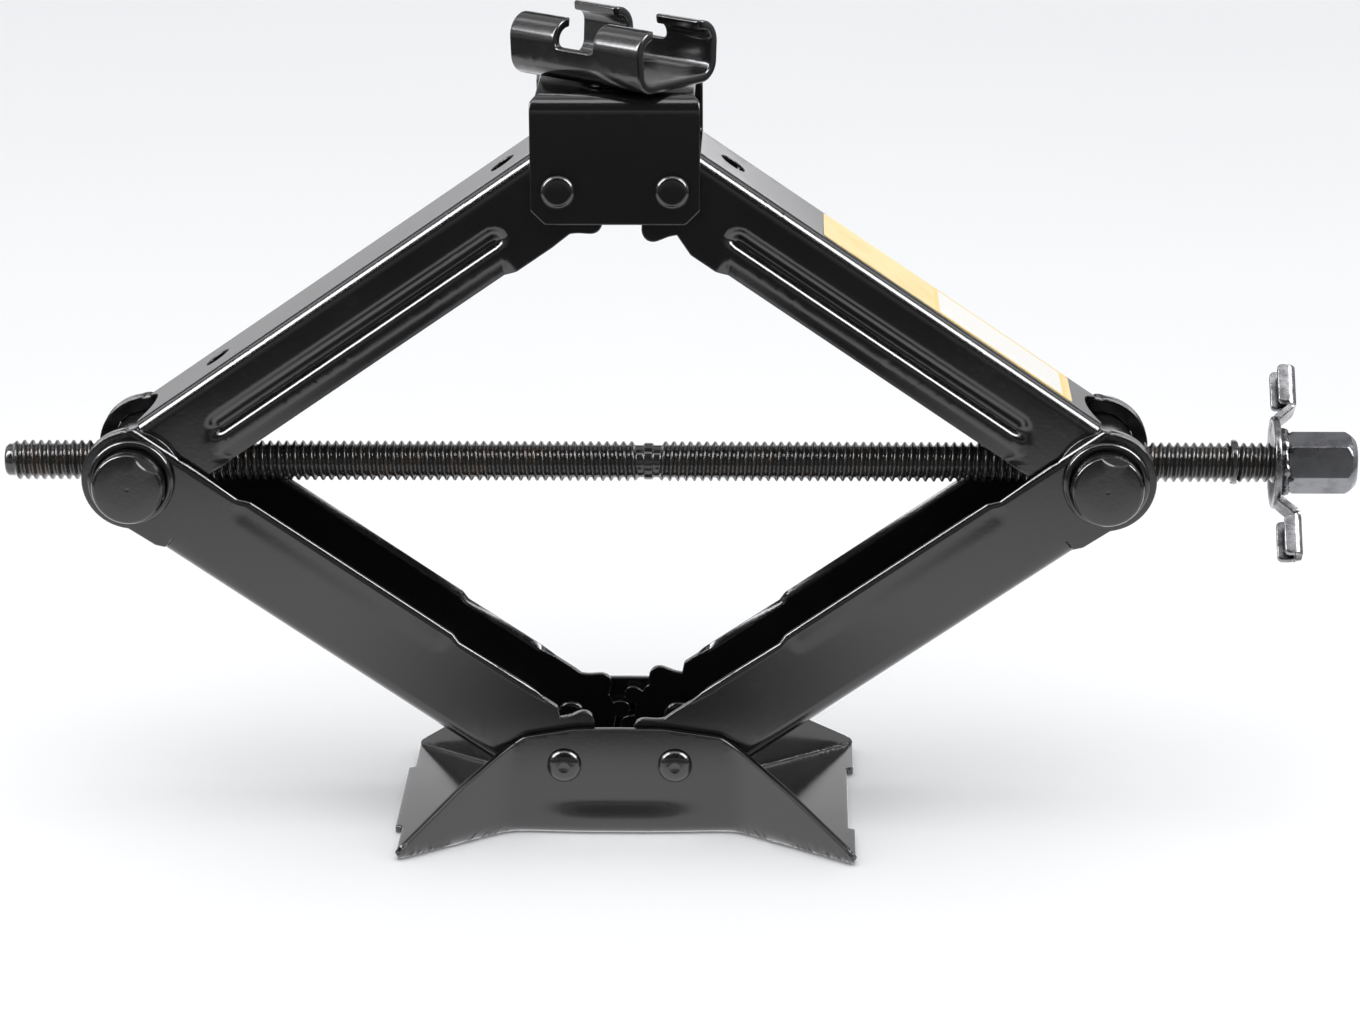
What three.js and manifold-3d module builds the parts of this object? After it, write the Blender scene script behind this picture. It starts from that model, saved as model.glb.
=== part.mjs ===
// Scissor stabilizer jack: a screw-driven four-arm jack on a folded sheet base.
// Millimetres, +Z up. The origin is the middle of the base's underside; +X points to the drive hex.
import * as THREE from 'three';
import { mergeVertices } from 'three/addons/utils/BufferGeometryUtils.js';
import Module from 'manifold-3d';

const wasm = await Module();
wasm.setup();

// ---------------------------------------------------------------- driving dimensions
const ARM_LENGTH = 163;          // knuckle pivot to gear pivot
const REST_ANGLE = THREE.MathUtils.degToRad(34.6); // arms above the level at rest
const PIVOT_HALF = 17.5;         // half the spacing of a pivot pair, and the gears' pitch radius
const BASE_PIVOT_Z = 23;         // base pivots above the ground
const GAP = 0.3;                 // running gap between neighbouring pieces

const ARM_SHEET = 2.3;           // arm sheet thickness
const LOWER_WALL_Y = 23;         // lower arm, outer face of a wall
const UPPER_WALL_Y = 19.6;       // upper arm, outer face of a wall
const WEB_OUT = 13.4;            // pivot line to the web's outer face
const EDGE_IN = 14;              // pivot line to the walls' open edge
const EYE_RADIUS = 15.8;         // round end of a wall at the knuckle
const ARM_BEND = 4.5;            // outer bend radius between web and walls

const TEETH = 10;                // teeth on a full gear of this pitch
const MODULE_SIZE = 3.5;
const PRESSURE_ANGLE = THREE.MathUtils.degToRad(25);
const BACKLASH = 0.4;
const TIP_RADIUS = 20;
const ROOT_RADIUS = 14.4;

const TRUNNION_RADIUS = 11.2;
const TRUNNION_HALF = 33.4;
const WASHER_RADIUS = 13.5;
const WASHER_THICK = 2.6;

const SCREW_RADIUS = 6.35;
const SCREW_START_X = -194.5;    // free end of the screw
const PLATE_X = 206;             // the lug plate's inner face
const HEX_FLATS = 17;            // drive hex across flats
const HEX_START_X = 210;
const HEX_END_X = 231.6;
const COLLAR_X = 193.2;          // middle of the stop collar at rest
const LUG_TURN = THREE.MathUtils.degToRad(-41);    // how the lug plate and the hex stand at rest
const HEX_TURN = THREE.MathUtils.degToRad(13);

const BASE_SHEET = 2.5;
const BASE_WALL_Y = 26.5;        // outer face of a base wall
const BASE_WALL = 3;
const BASE_LEFT_X = -69.4;       // left corners; the end's middle stands out from them as a tab
const BASE_RIGHT_X = 74.6;       // right corners; the end's middle is recessed
const BASE_HALF_Y = 54.6;
const BASE_KNEE_X = 33;          // where the walls start to splay

const BRACKET_WALL_Y = 23.3;     // outer face of a bracket wall
const BRACKET_WALL = 3.2;
const BRACKET_HALF_X = 26;
const BRACKET_DOWN = 10.6;       // below the top pivots
const BRACKET_UP = 29.4;         // above the top pivots

const RIVET_RADIUS = 3.6;
const RIVET_HEAD_RADIUS = 5.4;
const RIVET_HEAD = 2.4;

const SADDLE_TURN = THREE.MathUtils.degToRad(-37); // how the saddle stands at rest
const SADDLE_HALF_LENGTH = 27.2;
const SADDLE_HALF_WIDTH = 15.8;
const SADDLE_SHEET = 3;
const SADDLE_HEIGHT = 19.6;
const PUCK_HEIGHT = 1.2;         // washer between bracket and saddle

const KNUCKLE_X = PIVOT_HALF + ARM_LENGTH * Math.cos(REST_ANGLE);
const SWIVEL_RADIUS = 5;         // rivet that the saddle turns on
const SWIVEL_HEAD_RADIUS = 8.5;
const KNUCKLE_Z = BASE_PIVOT_Z + ARM_LENGTH * Math.sin(REST_ANGLE);
const TOP_PIVOT_Z = BASE_PIVOT_Z + 2 * ARM_LENGTH * Math.sin(REST_ANGLE);
const BRACKET_TOP_Z = TOP_PIVOT_Z + BRACKET_UP;

// ---------------------------------------------------------------- materials
const paint = () => new THREE.MeshStandardMaterial({ color: 0x101112, roughness: 0.3, metalness: 0.1 });
const screwFinish = () => new THREE.MeshStandardMaterial({ color: 0x1a1816, roughness: 0.35, metalness: 0.7 });
const plated = () => new THREE.MeshStandardMaterial({ color: 0x8d9094, roughness: 0.35, metalness: 0.9 });
const darkNickel = () => new THREE.MeshStandardMaterial({ color: 0x4c4f53, roughness: 0.3, metalness: 0.9 });
const labelFinish = () => new THREE.MeshStandardMaterial({ color: 0xe8c27a, roughness: 0.5, metalness: 0 });

// ---------------------------------------------------------------- solids
function solid(geometry) {
  const bare = geometry.index ? geometry.toNonIndexed() : geometry.clone();
  bare.deleteAttribute('normal');
  bare.deleteAttribute('uv');
  const merged = mergeVertices(bare, 1e-4);
  return new wasm.Manifold(new wasm.Mesh({
    numProp: 3,
    vertProperties: merged.attributes.position.array,
    triVerts: new Uint32Array(merged.index.array),
  }));
}

function toGeometry(manifold) {
  const mesh = manifold.getMesh();
  const geometry = new THREE.BufferGeometry();
  geometry.setAttribute('position', new THREE.BufferAttribute(mesh.vertProperties, 3));
  geometry.setIndex(new THREE.BufferAttribute(mesh.triVerts, 1));
  geometry.computeVertexNormals();
  return geometry;
}

const unite = (solids) => solids.reduce((sum, next) => sum.add(next));
const cut = (body, tools) => tools.reduce((rest, tool) => rest.subtract(tool), body);

/** A flat outline in X and Z, thickened along Y from y0 to y1. */
function slabXZ(shape, y0, y1, curveSegments = 16) {
  const geometry = new THREE.ExtrudeGeometry(shape, { depth: y1 - y0, bevelEnabled: false, curveSegments });
  geometry.rotateX(Math.PI / 2);
  geometry.translate(0, y1, 0);
  return solid(geometry);
}

/** A flat outline in Y and Z, thickened along X from x0 to x1. */
function slabYZ(shape, x0, x1, curveSegments = 8) {
  const geometry = new THREE.ExtrudeGeometry(shape, { depth: x1 - x0, bevelEnabled: false, curveSegments });
  geometry.rotateX(Math.PI / 2);
  geometry.rotateZ(Math.PI / 2);
  geometry.translate(x0, 0, 0);
  return solid(geometry);
}

/** A flat outline in X and Y, thickened upwards from z0 to z1. */
function slabXY(shape, z0, z1, curveSegments = 12) {
  const geometry = new THREE.ExtrudeGeometry(shape, { depth: z1 - z0, bevelEnabled: false, curveSegments });
  geometry.translate(0, 0, z0);
  return solid(geometry);
}

/** A round bar between y0 and y1, its axis along Y through (x, z). */
function barY(radius, y0, y1, x = 0, z = 0, sides = 24) {
  const geometry = new THREE.CylinderGeometry(radius, radius, y1 - y0, sides);
  geometry.translate(x, (y0 + y1) / 2, z);
  return solid(geometry);
}

/** A round bar between z0 and z1, its axis along Z through (x, y). */
function barZ(radius, z0, z1, x = 0, y = 0, sides = 24) {
  const geometry = new THREE.CylinderGeometry(radius, radius, z1 - z0, sides);
  geometry.rotateX(Math.PI / 2);
  geometry.translate(x, y, (z0 + z1) / 2);
  return solid(geometry);
}

/** A profile of [radius, distance] pairs turned about an axis along X. */
function turnedX(profile, sides = 24) {
  const points = profile.map(([radius, along]) => new THREE.Vector2(radius, along));
  const geometry = new THREE.LatheGeometry(points, sides);
  geometry.rotateZ(-Math.PI / 2);
  return solid(geometry);
}

function polygon(points) {
  return new THREE.Shape(points.map(([x, y]) => new THREE.Vector2(x, y)));
}

/** A channel section: base at height `out`, walls reaching down to `edge`, outer bend radius `bend`. */
function channelSection(halfWidth, sheet, out, edge, bend) {
  const inner = halfWidth - sheet;
  const innerBend = bend - sheet;
  const shape = new THREE.Shape();
  shape.moveTo(-halfWidth, edge);
  shape.lineTo(-halfWidth, out - bend);
  shape.absarc(-halfWidth + bend, out - bend, bend, Math.PI, Math.PI / 2, true);
  shape.lineTo(halfWidth - bend, out);
  shape.absarc(halfWidth - bend, out - bend, bend, Math.PI / 2, 0, true);
  shape.lineTo(halfWidth, edge);
  shape.lineTo(inner, edge);
  shape.lineTo(inner, out - bend);
  shape.absarc(inner - innerBend, out - bend, innerBend, 0, Math.PI / 2, false);
  shape.lineTo(-inner + innerBend, out - sheet);
  shape.absarc(-inner + innerBend, out - bend, innerBend, Math.PI / 2, Math.PI, false);
  shape.lineTo(-inner, edge);
  return shape;
}

/** A slot outline with round ends, from (x0, z) to (x1, z). */
function slotShape(x0, x1, z, radius) {
  const shape = new THREE.Shape();
  shape.moveTo(x0, z - radius);
  shape.lineTo(x1, z - radius);
  shape.absarc(x1, z, radius, -Math.PI / 2, Math.PI / 2, false);
  shape.lineTo(x0, z + radius);
  shape.absarc(x0, z, radius, Math.PI / 2, 1.5 * Math.PI, false);
  return shape;
}

// ---------------------------------------------------------------- gear sectors
const involute = (angle) => Math.tan(angle) - angle;

/** Half the angle that a tooth fills at a radius. */
function toothHalfAngle(radius) {
  const pitchRadius = TEETH * MODULE_SIZE / 2;
  const baseRadius = pitchRadius * Math.cos(PRESSURE_ANGLE);
  const atPitch = Math.PI / (2 * TEETH) - BACKLASH / (4 * pitchRadius);
  const here = Math.acos(baseRadius / Math.max(radius, baseRadius));
  return atPitch + involute(PRESSURE_ANGLE) - involute(here);
}

/** Outline points of one tooth, as [radius, angle] in the order of rising angle. */
function toothPoints(centre) {
  const flankSteps = 2;
  const radii = [ROOT_RADIUS];
  for (let step = 0; step <= flankSteps; step += 1) {
    radii.push(15.9 + (TIP_RADIUS - 15.9) * step / flankSteps);
  }
  const rising = radii.map((radius) => [radius, centre - toothHalfAngle(radius)]);
  const falling = radii.map((radius) => [radius, centre + toothHalfAngle(radius)]).reverse();
  return [...rising, ...falling];
}

// Tooth centres on the two kinds of wall, from the direction of the partner pivot towards the
// inside of the diamond, with the arm at its rest angle. They differ by half a tooth.
const TOOTH_STEP = 2 * Math.PI / TEETH;
const FIRST_TOOTH = {
  leading: THREE.MathUtils.degToRad(61.7),
  trailing: THREE.MathUtils.degToRad(43.7),
};
const TOOTH_COUNT = { leading: 4, trailing: 3 };

/**
 * One wall of an arm as an outline: x runs from the knuckle pivot (0) to the gear pivot
 * (ARM_LENGTH), z is positive towards the web. The gear end carries the teeth.
 */
function wallShape(kind, knuckleCorner) {
  const shape = new THREE.Shape();
  const onGear = (radius, angle) => {
    const fromArm = Math.PI - REST_ANGLE - angle;
    return [ARM_LENGTH - radius * Math.cos(fromArm), -radius * Math.sin(fromArm)];
  };
  const eyeStart = -Math.asin(knuckleCorner.eyeDrop / EYE_RADIUS);
  const eyeEnd = Math.asin(WEB_OUT / EYE_RADIUS) - 2 * Math.PI;
  shape.absarc(0, 0, EYE_RADIUS, eyeStart, eyeEnd, true);
  shape.lineTo(ARM_LENGTH - 1, WEB_OUT);
  const teeth = [];
  for (let index = TOOTH_COUNT[kind] - 1; index >= 0; index -= 1) {
    teeth.push(FIRST_TOOTH[kind] - index * TOOTH_STEP);
  }
  const rootStart = teeth[0] - TOOTH_STEP * 0.42;
  shape.lineTo(...onGear(ROOT_RADIUS, rootStart - 0.35));
  shape.lineTo(...onGear(ROOT_RADIUS, rootStart));
  teeth.forEach((centre) => {
    toothPoints(centre).forEach(([radius, angle]) => shape.lineTo(...onGear(radius, angle)));
  });
  const lastRoot = teeth[teeth.length - 1] + TOOTH_STEP * 0.5;
  shape.lineTo(...onGear(ROOT_RADIUS, lastRoot));
  const [edgeX] = onGear(ROOT_RADIUS, lastRoot);
  shape.lineTo(Math.min(edgeX, ARM_LENGTH) - 7, -EDGE_IN);
  shape.lineTo(knuckleCorner.x, -EDGE_IN);
  return shape;
}

const LOWER_KNUCKLE = { x: 12, eyeDrop: 13.2, webStart: 17, eyeHole: TRUNNION_RADIUS + GAP };
const UPPER_KNUCKLE = { x: 26, eyeDrop: 12.4, webStart: 11, eyeHole: TRUNNION_RADIUS + GAP };

/**
 * A channel arm lying along +X, web up, from the knuckle pivot at the origin.
 * `front` names the kind of teeth on its wall at -Y.
 */
function armSolid(wallY, front, knuckle, groove) {
  const back = front === 'leading' ? 'trailing' : 'leading';
  const inner = wallY - ARM_SHEET;
  const webRange = (z0, z1, grow) => slabXZ(
    polygon([
      [knuckle.webStart, z0],
      [ARM_LENGTH - 1, z0],
      [ARM_LENGTH - 1, z1],
      [knuckle.webStart, z1],
    ]), -wallY - grow, wallY + grow);
  const clearOfBend = webRange(WEB_OUT - ARM_BEND, WEB_OUT + 3, 1);
  const frontWall = slabXZ(wallShape(front, knuckle), -wallY, -inner).subtract(clearOfBend);
  const backWall = slabXZ(wallShape(back, knuckle), inner, wallY).subtract(clearOfBend);
  const section = channelSection(wallY, ARM_SHEET, WEB_OUT, 0, ARM_BEND);
  const bent = slabYZ(section, knuckle.webStart, ARM_LENGTH - 1, 4);
  let arm = unite([bent, frontWall, backWall]);

  const grooveShape = (radius) => slotShape(groove.from, groove.to, groove.z, radius);
  [-1, 1].forEach((side) => {
    const faces = [side * (inner - groove.depth), side * (inner + 0.4)].sort((a, b) => a - b);
    arm = arm.add(slabXZ(grooveShape(groove.radius + 0.8), faces[0], faces[1], 4));
    const sunk = [side * (wallY - groove.depth), side * (wallY + 1)].sort((a, b) => a - b);
    arm = arm.subtract(slabXZ(grooveShape(groove.radius), sunk[0], sunk[1], 4));
  });
  return cut(arm, [
    barY(knuckle.eyeHole, -wallY - 1, wallY + 1, 0, 0, 24),
    barY(RIVET_RADIUS + GAP, -wallY - 1, wallY + 1, ARM_LENGTH, 0, 16),
  ]);
}

const LOWER_GROOVE = { from: 34, to: 112, z: -9.6, radius: 3.2, depth: 0.7 };
const UPPER_GROOVE = { from: 34, to: 136, z: -4.8, radius: 4.2, depth: 1.8 };
const WEB_HOLE_RADIUS = 4.2;
const WEB_HOLES_X = [40, 150];

function lowerArm(front) {
  return armSolid(LOWER_WALL_Y, front, LOWER_KNUCKLE, LOWER_GROOVE);
}

function upperArm(front) {
  const holes = WEB_HOLES_X.map((x) => barZ(WEB_HOLE_RADIUS, WEB_OUT - 4, WEB_OUT + 1, x, 0, 16));
  return cut(armSolid(UPPER_WALL_Y, front, UPPER_KNUCKLE, UPPER_GROOVE), holes);
}

// ---------------------------------------------------------------- base, bracket, saddle
const BASE_TAB_Y = 27;
const BASE_TAB_STEP = 2.1;       // the recess at the right end is the left end's tab
const WALL_TOP_CENTRE = 35;
const WALL_TOP_KNEE = 32.2;

function baseFloorShape() {
  const end = (corner, side) => [
    [corner - BASE_TAB_STEP, 0],
    [corner - BASE_TAB_STEP, BASE_TAB_Y],
    [corner, BASE_TAB_Y],
    [corner, BASE_HALF_Y],
    [side * (BASE_KNEE_X + 6), BASE_WALL_Y + 2.6],
    [side * BASE_KNEE_X, BASE_WALL_Y],
  ];
  const right = end(BASE_RIGHT_X, 1);
  const left = end(BASE_LEFT_X, -1);
  const front = (points) => points.map(([x, y]) => [x, -y]);
  const around = [
    ...right,
    ...[...left].reverse(),
    ...front(left).slice(1),
    ...front(right).reverse().slice(0, -1),
  ];
  return polygon(around);
}

function baseWallShape(side) {
  const inset = BASE_WALL;
  const wing = (corner, turn) => ({
    outer: [
      [corner, -BASE_HALF_Y],
      [turn * (BASE_KNEE_X + 6), -BASE_WALL_Y - 2.6],
      [turn * BASE_KNEE_X, -BASE_WALL_Y],
    ],
    inner: [
      [turn * (BASE_KNEE_X - 2), -BASE_WALL_Y + inset],
      [turn * (BASE_KNEE_X + 7), -BASE_WALL_Y + inset - 1.8],
      [corner, -BASE_HALF_Y + inset * 1.25],
    ],
  });
  const left = wing(BASE_LEFT_X, -1);
  const right = wing(BASE_RIGHT_X, 1);
  const front = [...left.outer, ...right.outer.reverse(), ...right.inner.reverse(), ...left.inner];
  return polygon(front.map(([x, y]) => [x, -side * y]));
}

function basePlate() {
  const sideView = polygon([
    [BASE_LEFT_X - 1, -1],
    [BASE_LEFT_X - 1, BASE_SHEET],
    [BASE_LEFT_X + 2, BASE_SHEET],
    [-BASE_KNEE_X + 3, WALL_TOP_KNEE],
    [-12, WALL_TOP_CENTRE],
    [12, WALL_TOP_CENTRE],
    [BASE_KNEE_X - 3, WALL_TOP_KNEE],
    [BASE_RIGHT_X - 2, BASE_SHEET],
    [BASE_RIGHT_X + 1, BASE_SHEET],
    [BASE_RIGHT_X + 1, -1],
  ]);
  const trimmed = slabXZ(sideView, -BASE_HALF_Y - 1, BASE_HALF_Y + 1);
  const walls = [-1, 1].map((side) => slabXY(baseWallShape(side), 0, WALL_TOP_CENTRE).intersect(trimmed));
  const body = unite([slabXY(baseFloorShape(), 0, BASE_SHEET), ...walls]);
  const holes = [-1, 1].map((side) => (
    barY(RIVET_RADIUS + 0.1, -BASE_HALF_Y, BASE_HALF_Y, side * PIVOT_HALF, BASE_PIVOT_Z, 20)
  ));
  return cut(body, holes);
}

/** The bracket, with z measured from the top pivots. */
function topBracket() {
  const chamfer = 4;
  const section = channelSection(BRACKET_WALL_Y, BRACKET_WALL, BRACKET_UP, -BRACKET_DOWN, 5.5);
  const sideView = polygon([
    [-BRACKET_HALF_X, BRACKET_UP + 1],
    [-BRACKET_HALF_X, -BRACKET_DOWN + chamfer],
    [-BRACKET_HALF_X + chamfer, -BRACKET_DOWN],
    [BRACKET_HALF_X - chamfer, -BRACKET_DOWN],
    [BRACKET_HALF_X, -BRACKET_DOWN + chamfer],
    [BRACKET_HALF_X, BRACKET_UP + 1],
  ]);
  const body = slabYZ(section, -BRACKET_HALF_X, BRACKET_HALF_X)
    .intersect(slabXZ(sideView, -BRACKET_WALL_Y - 1, BRACKET_WALL_Y + 1));
  const holes = [-1, 1].map((side) => (
    barY(RIVET_RADIUS + 0.1, -BRACKET_WALL_Y - 1, BRACKET_WALL_Y + 1, side * PIVOT_HALF, 0, 20)
  ));
  return cut(body, [...holes, barZ(SWIVEL_RADIUS + 0.1, BRACKET_UP - 6, BRACKET_UP + 1)]);
}


/** The saddle's channel: floor at z = 0, walls up, lips curled inwards and notched in the middle. */
function saddleSolid() {
  const floorBend = 5.5;
  const lipBend = 5;
  const lipReach = 7.5;
  const half = SADDLE_HALF_WIDTH;
  const top = SADDLE_HEIGHT;
  const sheet = SADDLE_SHEET;
  const section = new THREE.Shape();
  section.moveTo(-half + floorBend, 0);
  section.lineTo(half - floorBend, 0);
  section.absarc(half - floorBend, floorBend, floorBend, -Math.PI / 2, 0, false);
  section.lineTo(half, top - lipBend);
  section.absarc(half - lipBend, top - lipBend, lipBend, 0, Math.PI / 2, false);
  section.lineTo(half - lipReach, top);
  section.lineTo(half - lipReach, top - sheet);
  section.lineTo(half - lipBend, top - sheet);
  section.absarc(half - lipBend, top - lipBend, lipBend - sheet, Math.PI / 2, 0, true);
  section.lineTo(half - sheet, floorBend);
  section.absarc(half - floorBend, floorBend, floorBend - sheet, 0, -Math.PI / 2, true);
  section.lineTo(-half + floorBend, sheet);
  section.absarc(-half + floorBend, floorBend, floorBend - sheet, 1.5 * Math.PI, Math.PI, true);
  section.lineTo(-half + sheet, top - lipBend);
  section.absarc(-half + lipBend, top - lipBend, lipBend - sheet, Math.PI, Math.PI / 2, true);
  section.lineTo(-half + lipReach, top - sheet);
  section.lineTo(-half + lipReach, top);
  section.lineTo(-half + lipBend, top);
  section.absarc(-half + lipBend, top - lipBend, lipBend, Math.PI / 2, Math.PI, false);
  section.lineTo(-half, floorBend);
  section.absarc(-half + floorBend, floorBend, floorBend, Math.PI, 1.5 * Math.PI, false);
  const channel = slabYZ(section, -SADDLE_HALF_LENGTH, SADDLE_HALF_LENGTH, 5);

  const notchHalf = 7.5;
  const notchFloor = top - 10;
  const notchBend = 2.5;
  const notch = new THREE.Shape();
  notch.moveTo(-notchHalf, top + 1);
  notch.lineTo(-notchHalf, notchFloor + notchBend);
  notch.absarc(-notchHalf + notchBend, notchFloor + notchBend, notchBend, Math.PI, 1.5 * Math.PI, false);
  notch.lineTo(notchHalf - notchBend, notchFloor);
  notch.absarc(notchHalf - notchBend, notchFloor + notchBend, notchBend, -Math.PI / 2, 0, false);
  notch.lineTo(notchHalf, top + 1);
  return cut(channel, [
    slabXZ(notch, -half - 1, half + 1, 4),
    barZ(SWIVEL_RADIUS + 0.1, -1, sheet + 1),
  ]);
}

// ---------------------------------------------------------------- pins, rivets, screw
/** A rivet along -Y: head from y = 0 outwards, shank and formed tail inwards. */
function rivetSolid(gripLength) {
  const profile = [
    [0, -RIVET_HEAD],
    [RIVET_HEAD_RADIUS * 0.62, -RIVET_HEAD],
    [RIVET_HEAD_RADIUS, -RIVET_HEAD * 0.5],
    [RIVET_HEAD_RADIUS, 0],
    [RIVET_RADIUS, 0],
    [RIVET_RADIUS, gripLength],
    [RIVET_HEAD_RADIUS - 0.4, gripLength],
    [RIVET_HEAD_RADIUS - 0.6, gripLength + 1.5],
    [0, gripLength + 1.5],
  ];
  const points = profile.map(([radius, along]) => new THREE.Vector2(radius, along));
  return solid(new THREE.LatheGeometry(points, 14));
}

function washerSolid() {
  const hole = TRUNNION_RADIUS + 0.1;
  return barY(WASHER_RADIUS, 0, WASHER_THICK).subtract(barY(hole, -1, WASHER_THICK + 1));
}

function trunnionSolid() {
  const edge = 0.8;
  const profile = [
    [0, -TRUNNION_HALF],
    [TRUNNION_RADIUS - edge, -TRUNNION_HALF],
    [TRUNNION_RADIUS, -TRUNNION_HALF + edge],
    [TRUNNION_RADIUS, TRUNNION_HALF - edge],
    [TRUNNION_RADIUS - edge, TRUNNION_HALF],
    [0, TRUNNION_HALF],
  ];
  const points = profile.map(([radius, along]) => new THREE.Vector2(radius, along));
  const pin = solid(new THREE.LatheGeometry(points, 24));
  const reach = TRUNNION_RADIUS + 2;
  const bore = turnedX([[0, -reach], [SCREW_RADIUS + GAP, -reach], [SCREW_RADIUS + GAP, reach], [0, reach]], 24);
  return pin.subtract(bore);
}

function screwRodSolid() {
  const chamfer = 1.2;
  const end = HEX_START_X + 0.6;
  return turnedX([
    [0, SCREW_START_X],
    [SCREW_RADIUS - chamfer, SCREW_START_X],
    [SCREW_RADIUS, SCREW_START_X + chamfer],
    [SCREW_RADIUS, end - 1],
    [SCREW_RADIUS - 1, end],
    [0, end],
  ]);
}

function hexSolid() {
  const corner = HEX_FLATS / 2 / Math.cos(Math.PI / 6);
  const length = HEX_END_X - HEX_START_X;
  const bar = new THREE.CylinderGeometry(corner, corner, length, 6);
  bar.rotateY(Math.PI / 6);
  bar.rotateZ(-Math.PI / 2);
  bar.translate((HEX_START_X + HEX_END_X) / 2, 0, 0);
  const chamfered = turnedX([
    [0, HEX_START_X],
    [corner + 0.5, HEX_START_X],
    [corner + 0.5, HEX_END_X - 3.8],
    [corner - 0.8, HEX_END_X - 2.2],
    [HEX_FLATS / 2 - 1.7, HEX_END_X],
    [0, HEX_END_X],
  ], 32);
  const socket = turnedX([
    [0, HEX_START_X - 1],
    [SCREW_RADIUS + GAP, HEX_START_X - 1],
    [SCREW_RADIUS + GAP, HEX_START_X + 1],
    [0, HEX_START_X + 1],
  ]);
  return solid(bar).intersect(chamfered).subtract(socket);
}

/** Dished washer with two ears folded out of its rim, one up and one down before it is turned. */
function lugPlateSolid() {
  const thick = 2.2;
  const rim = 14.6;
  const dish = 1.6;
  const earInner = 19.6;
  const earOuter = 32.6;
  const earBackX = PLATE_X + 6.6;
  const earHalf = 4;
  const disc = turnedX([
    [SCREW_RADIUS + GAP, PLATE_X + dish - thick / 2],
    [rim, PLATE_X - thick / 2],
    [rim, PLATE_X + thick / 2],
    [SCREW_RADIUS + GAP, PLATE_X + dish + thick / 2],
    [SCREW_RADIUS + GAP, PLATE_X + dish - thick / 2],
  ]);
  const ears = [1, -1].flatMap((side) => {
    const stem = polygon([
      [PLATE_X - 1, side * 12],
      [PLATE_X + 1.2, side * 12],
      [earBackX - 0.2, side * (earInner + 0.6)],
      [earBackX - thick, side * (earInner + 1.2)],
    ]);
    const flange = (startX) => polygon([
      [startX, side * (earInner + 1.5)],
      [startX + 1.5, side * earInner],
      [earBackX, side * earInner],
      [earBackX, side * (earOuter - 1)],
      [earBackX - 1, side * earOuter],
      [startX + 1.5, side * earOuter],
      [startX, side * (earOuter - 1.5)],
    ]);
    const back = polygon([
      [earBackX - thick, side * earInner],
      [earBackX, side * earInner],
      [earBackX, side * (earOuter - 0.5)],
      [earBackX - thick, side * (earOuter - 0.5)],
    ]);
    return [
      slabXZ(stem, -earHalf, earHalf),
      slabXZ(flange(earBackX - 6.2), -earHalf, -earHalf + thick),
      slabXZ(flange(earBackX - 8.4), earHalf - thick, earHalf),
      slabXZ(back, -earHalf, earHalf),
    ];
  });
  return unite([disc, ...ears]);
}

function collarSolid() {
  const half = 1.3;
  const bore = SCREW_RADIUS + 0.15;
  return turnedX([
    [bore, -half],
    [SCREW_RADIUS + 1.2, -half],
    [SCREW_RADIUS + 1.7, 0],
    [SCREW_RADIUS + 1.2, half],
    [bore, half],
    [bore, -half],
  ]);
}

// ---------------------------------------------------------------- assembly
const group = new THREE.Group();

function place(name, manifold, material, position = [0, 0, 0], parent = group) {
  const mesh = new THREE.Mesh(toGeometry(manifold), material);
  mesh.name = name;
  mesh.position.set(...position);
  parent.add(mesh);
  return mesh;
}

/** Turns an arm from its +X build pose so that it runs from a knuckle to a gear pivot. */
function armGroup(side, level) {
  const holder = new THREE.Group();
  holder.position.set(side * KNUCKLE_X, 0, KNUCKLE_Z);
  if (side > 0) {
    holder.rotateZ(Math.PI);
  }
  const tilt = level === 'upper' ? -REST_ANGLE : REST_ANGLE;
  holder.rotateY(tilt);
  if (level === 'lower') {
    holder.rotateX(Math.PI);
  }
  group.add(holder);
  return holder;
}

place('base_plate', basePlate(), paint());

// Turning an arm half about Z swaps its walls, so one stamping serves left and right.
place('lower_arm_left', lowerArm('trailing'), paint(), [0, 0, 0], armGroup(-1, 'lower'));
place('lower_arm_right', lowerArm('trailing'), paint(), [0, 0, 0], armGroup(1, 'lower'));
place('upper_arm_left', upperArm('trailing'), paint(), [0, 0, 0], armGroup(-1, 'upper'));
const rightUpper = armGroup(1, 'upper');
place('upper_arm_right', upperArm('trailing'), paint(), [0, 0, 0], rightUpper);

const LABEL = { from: 22, to: 116, thick: 0.25, half: UPPER_WALL_Y - ARM_BEND - 0.4 };
const labelShape = polygon([
  [LABEL.from, WEB_OUT + 0.1],
  [LABEL.to, WEB_OUT + 0.1],
  [LABEL.to, WEB_OUT + 0.1 + LABEL.thick],
  [LABEL.from, WEB_OUT + 0.1 + LABEL.thick],
]);
place('blank_label', slabXZ(labelShape, -LABEL.half, LABEL.half), labelFinish(), [0, 0, 0], rightUpper);

place('top_bracket', topBracket(), paint(), [0, 0, TOP_PIVOT_Z]);

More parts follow.
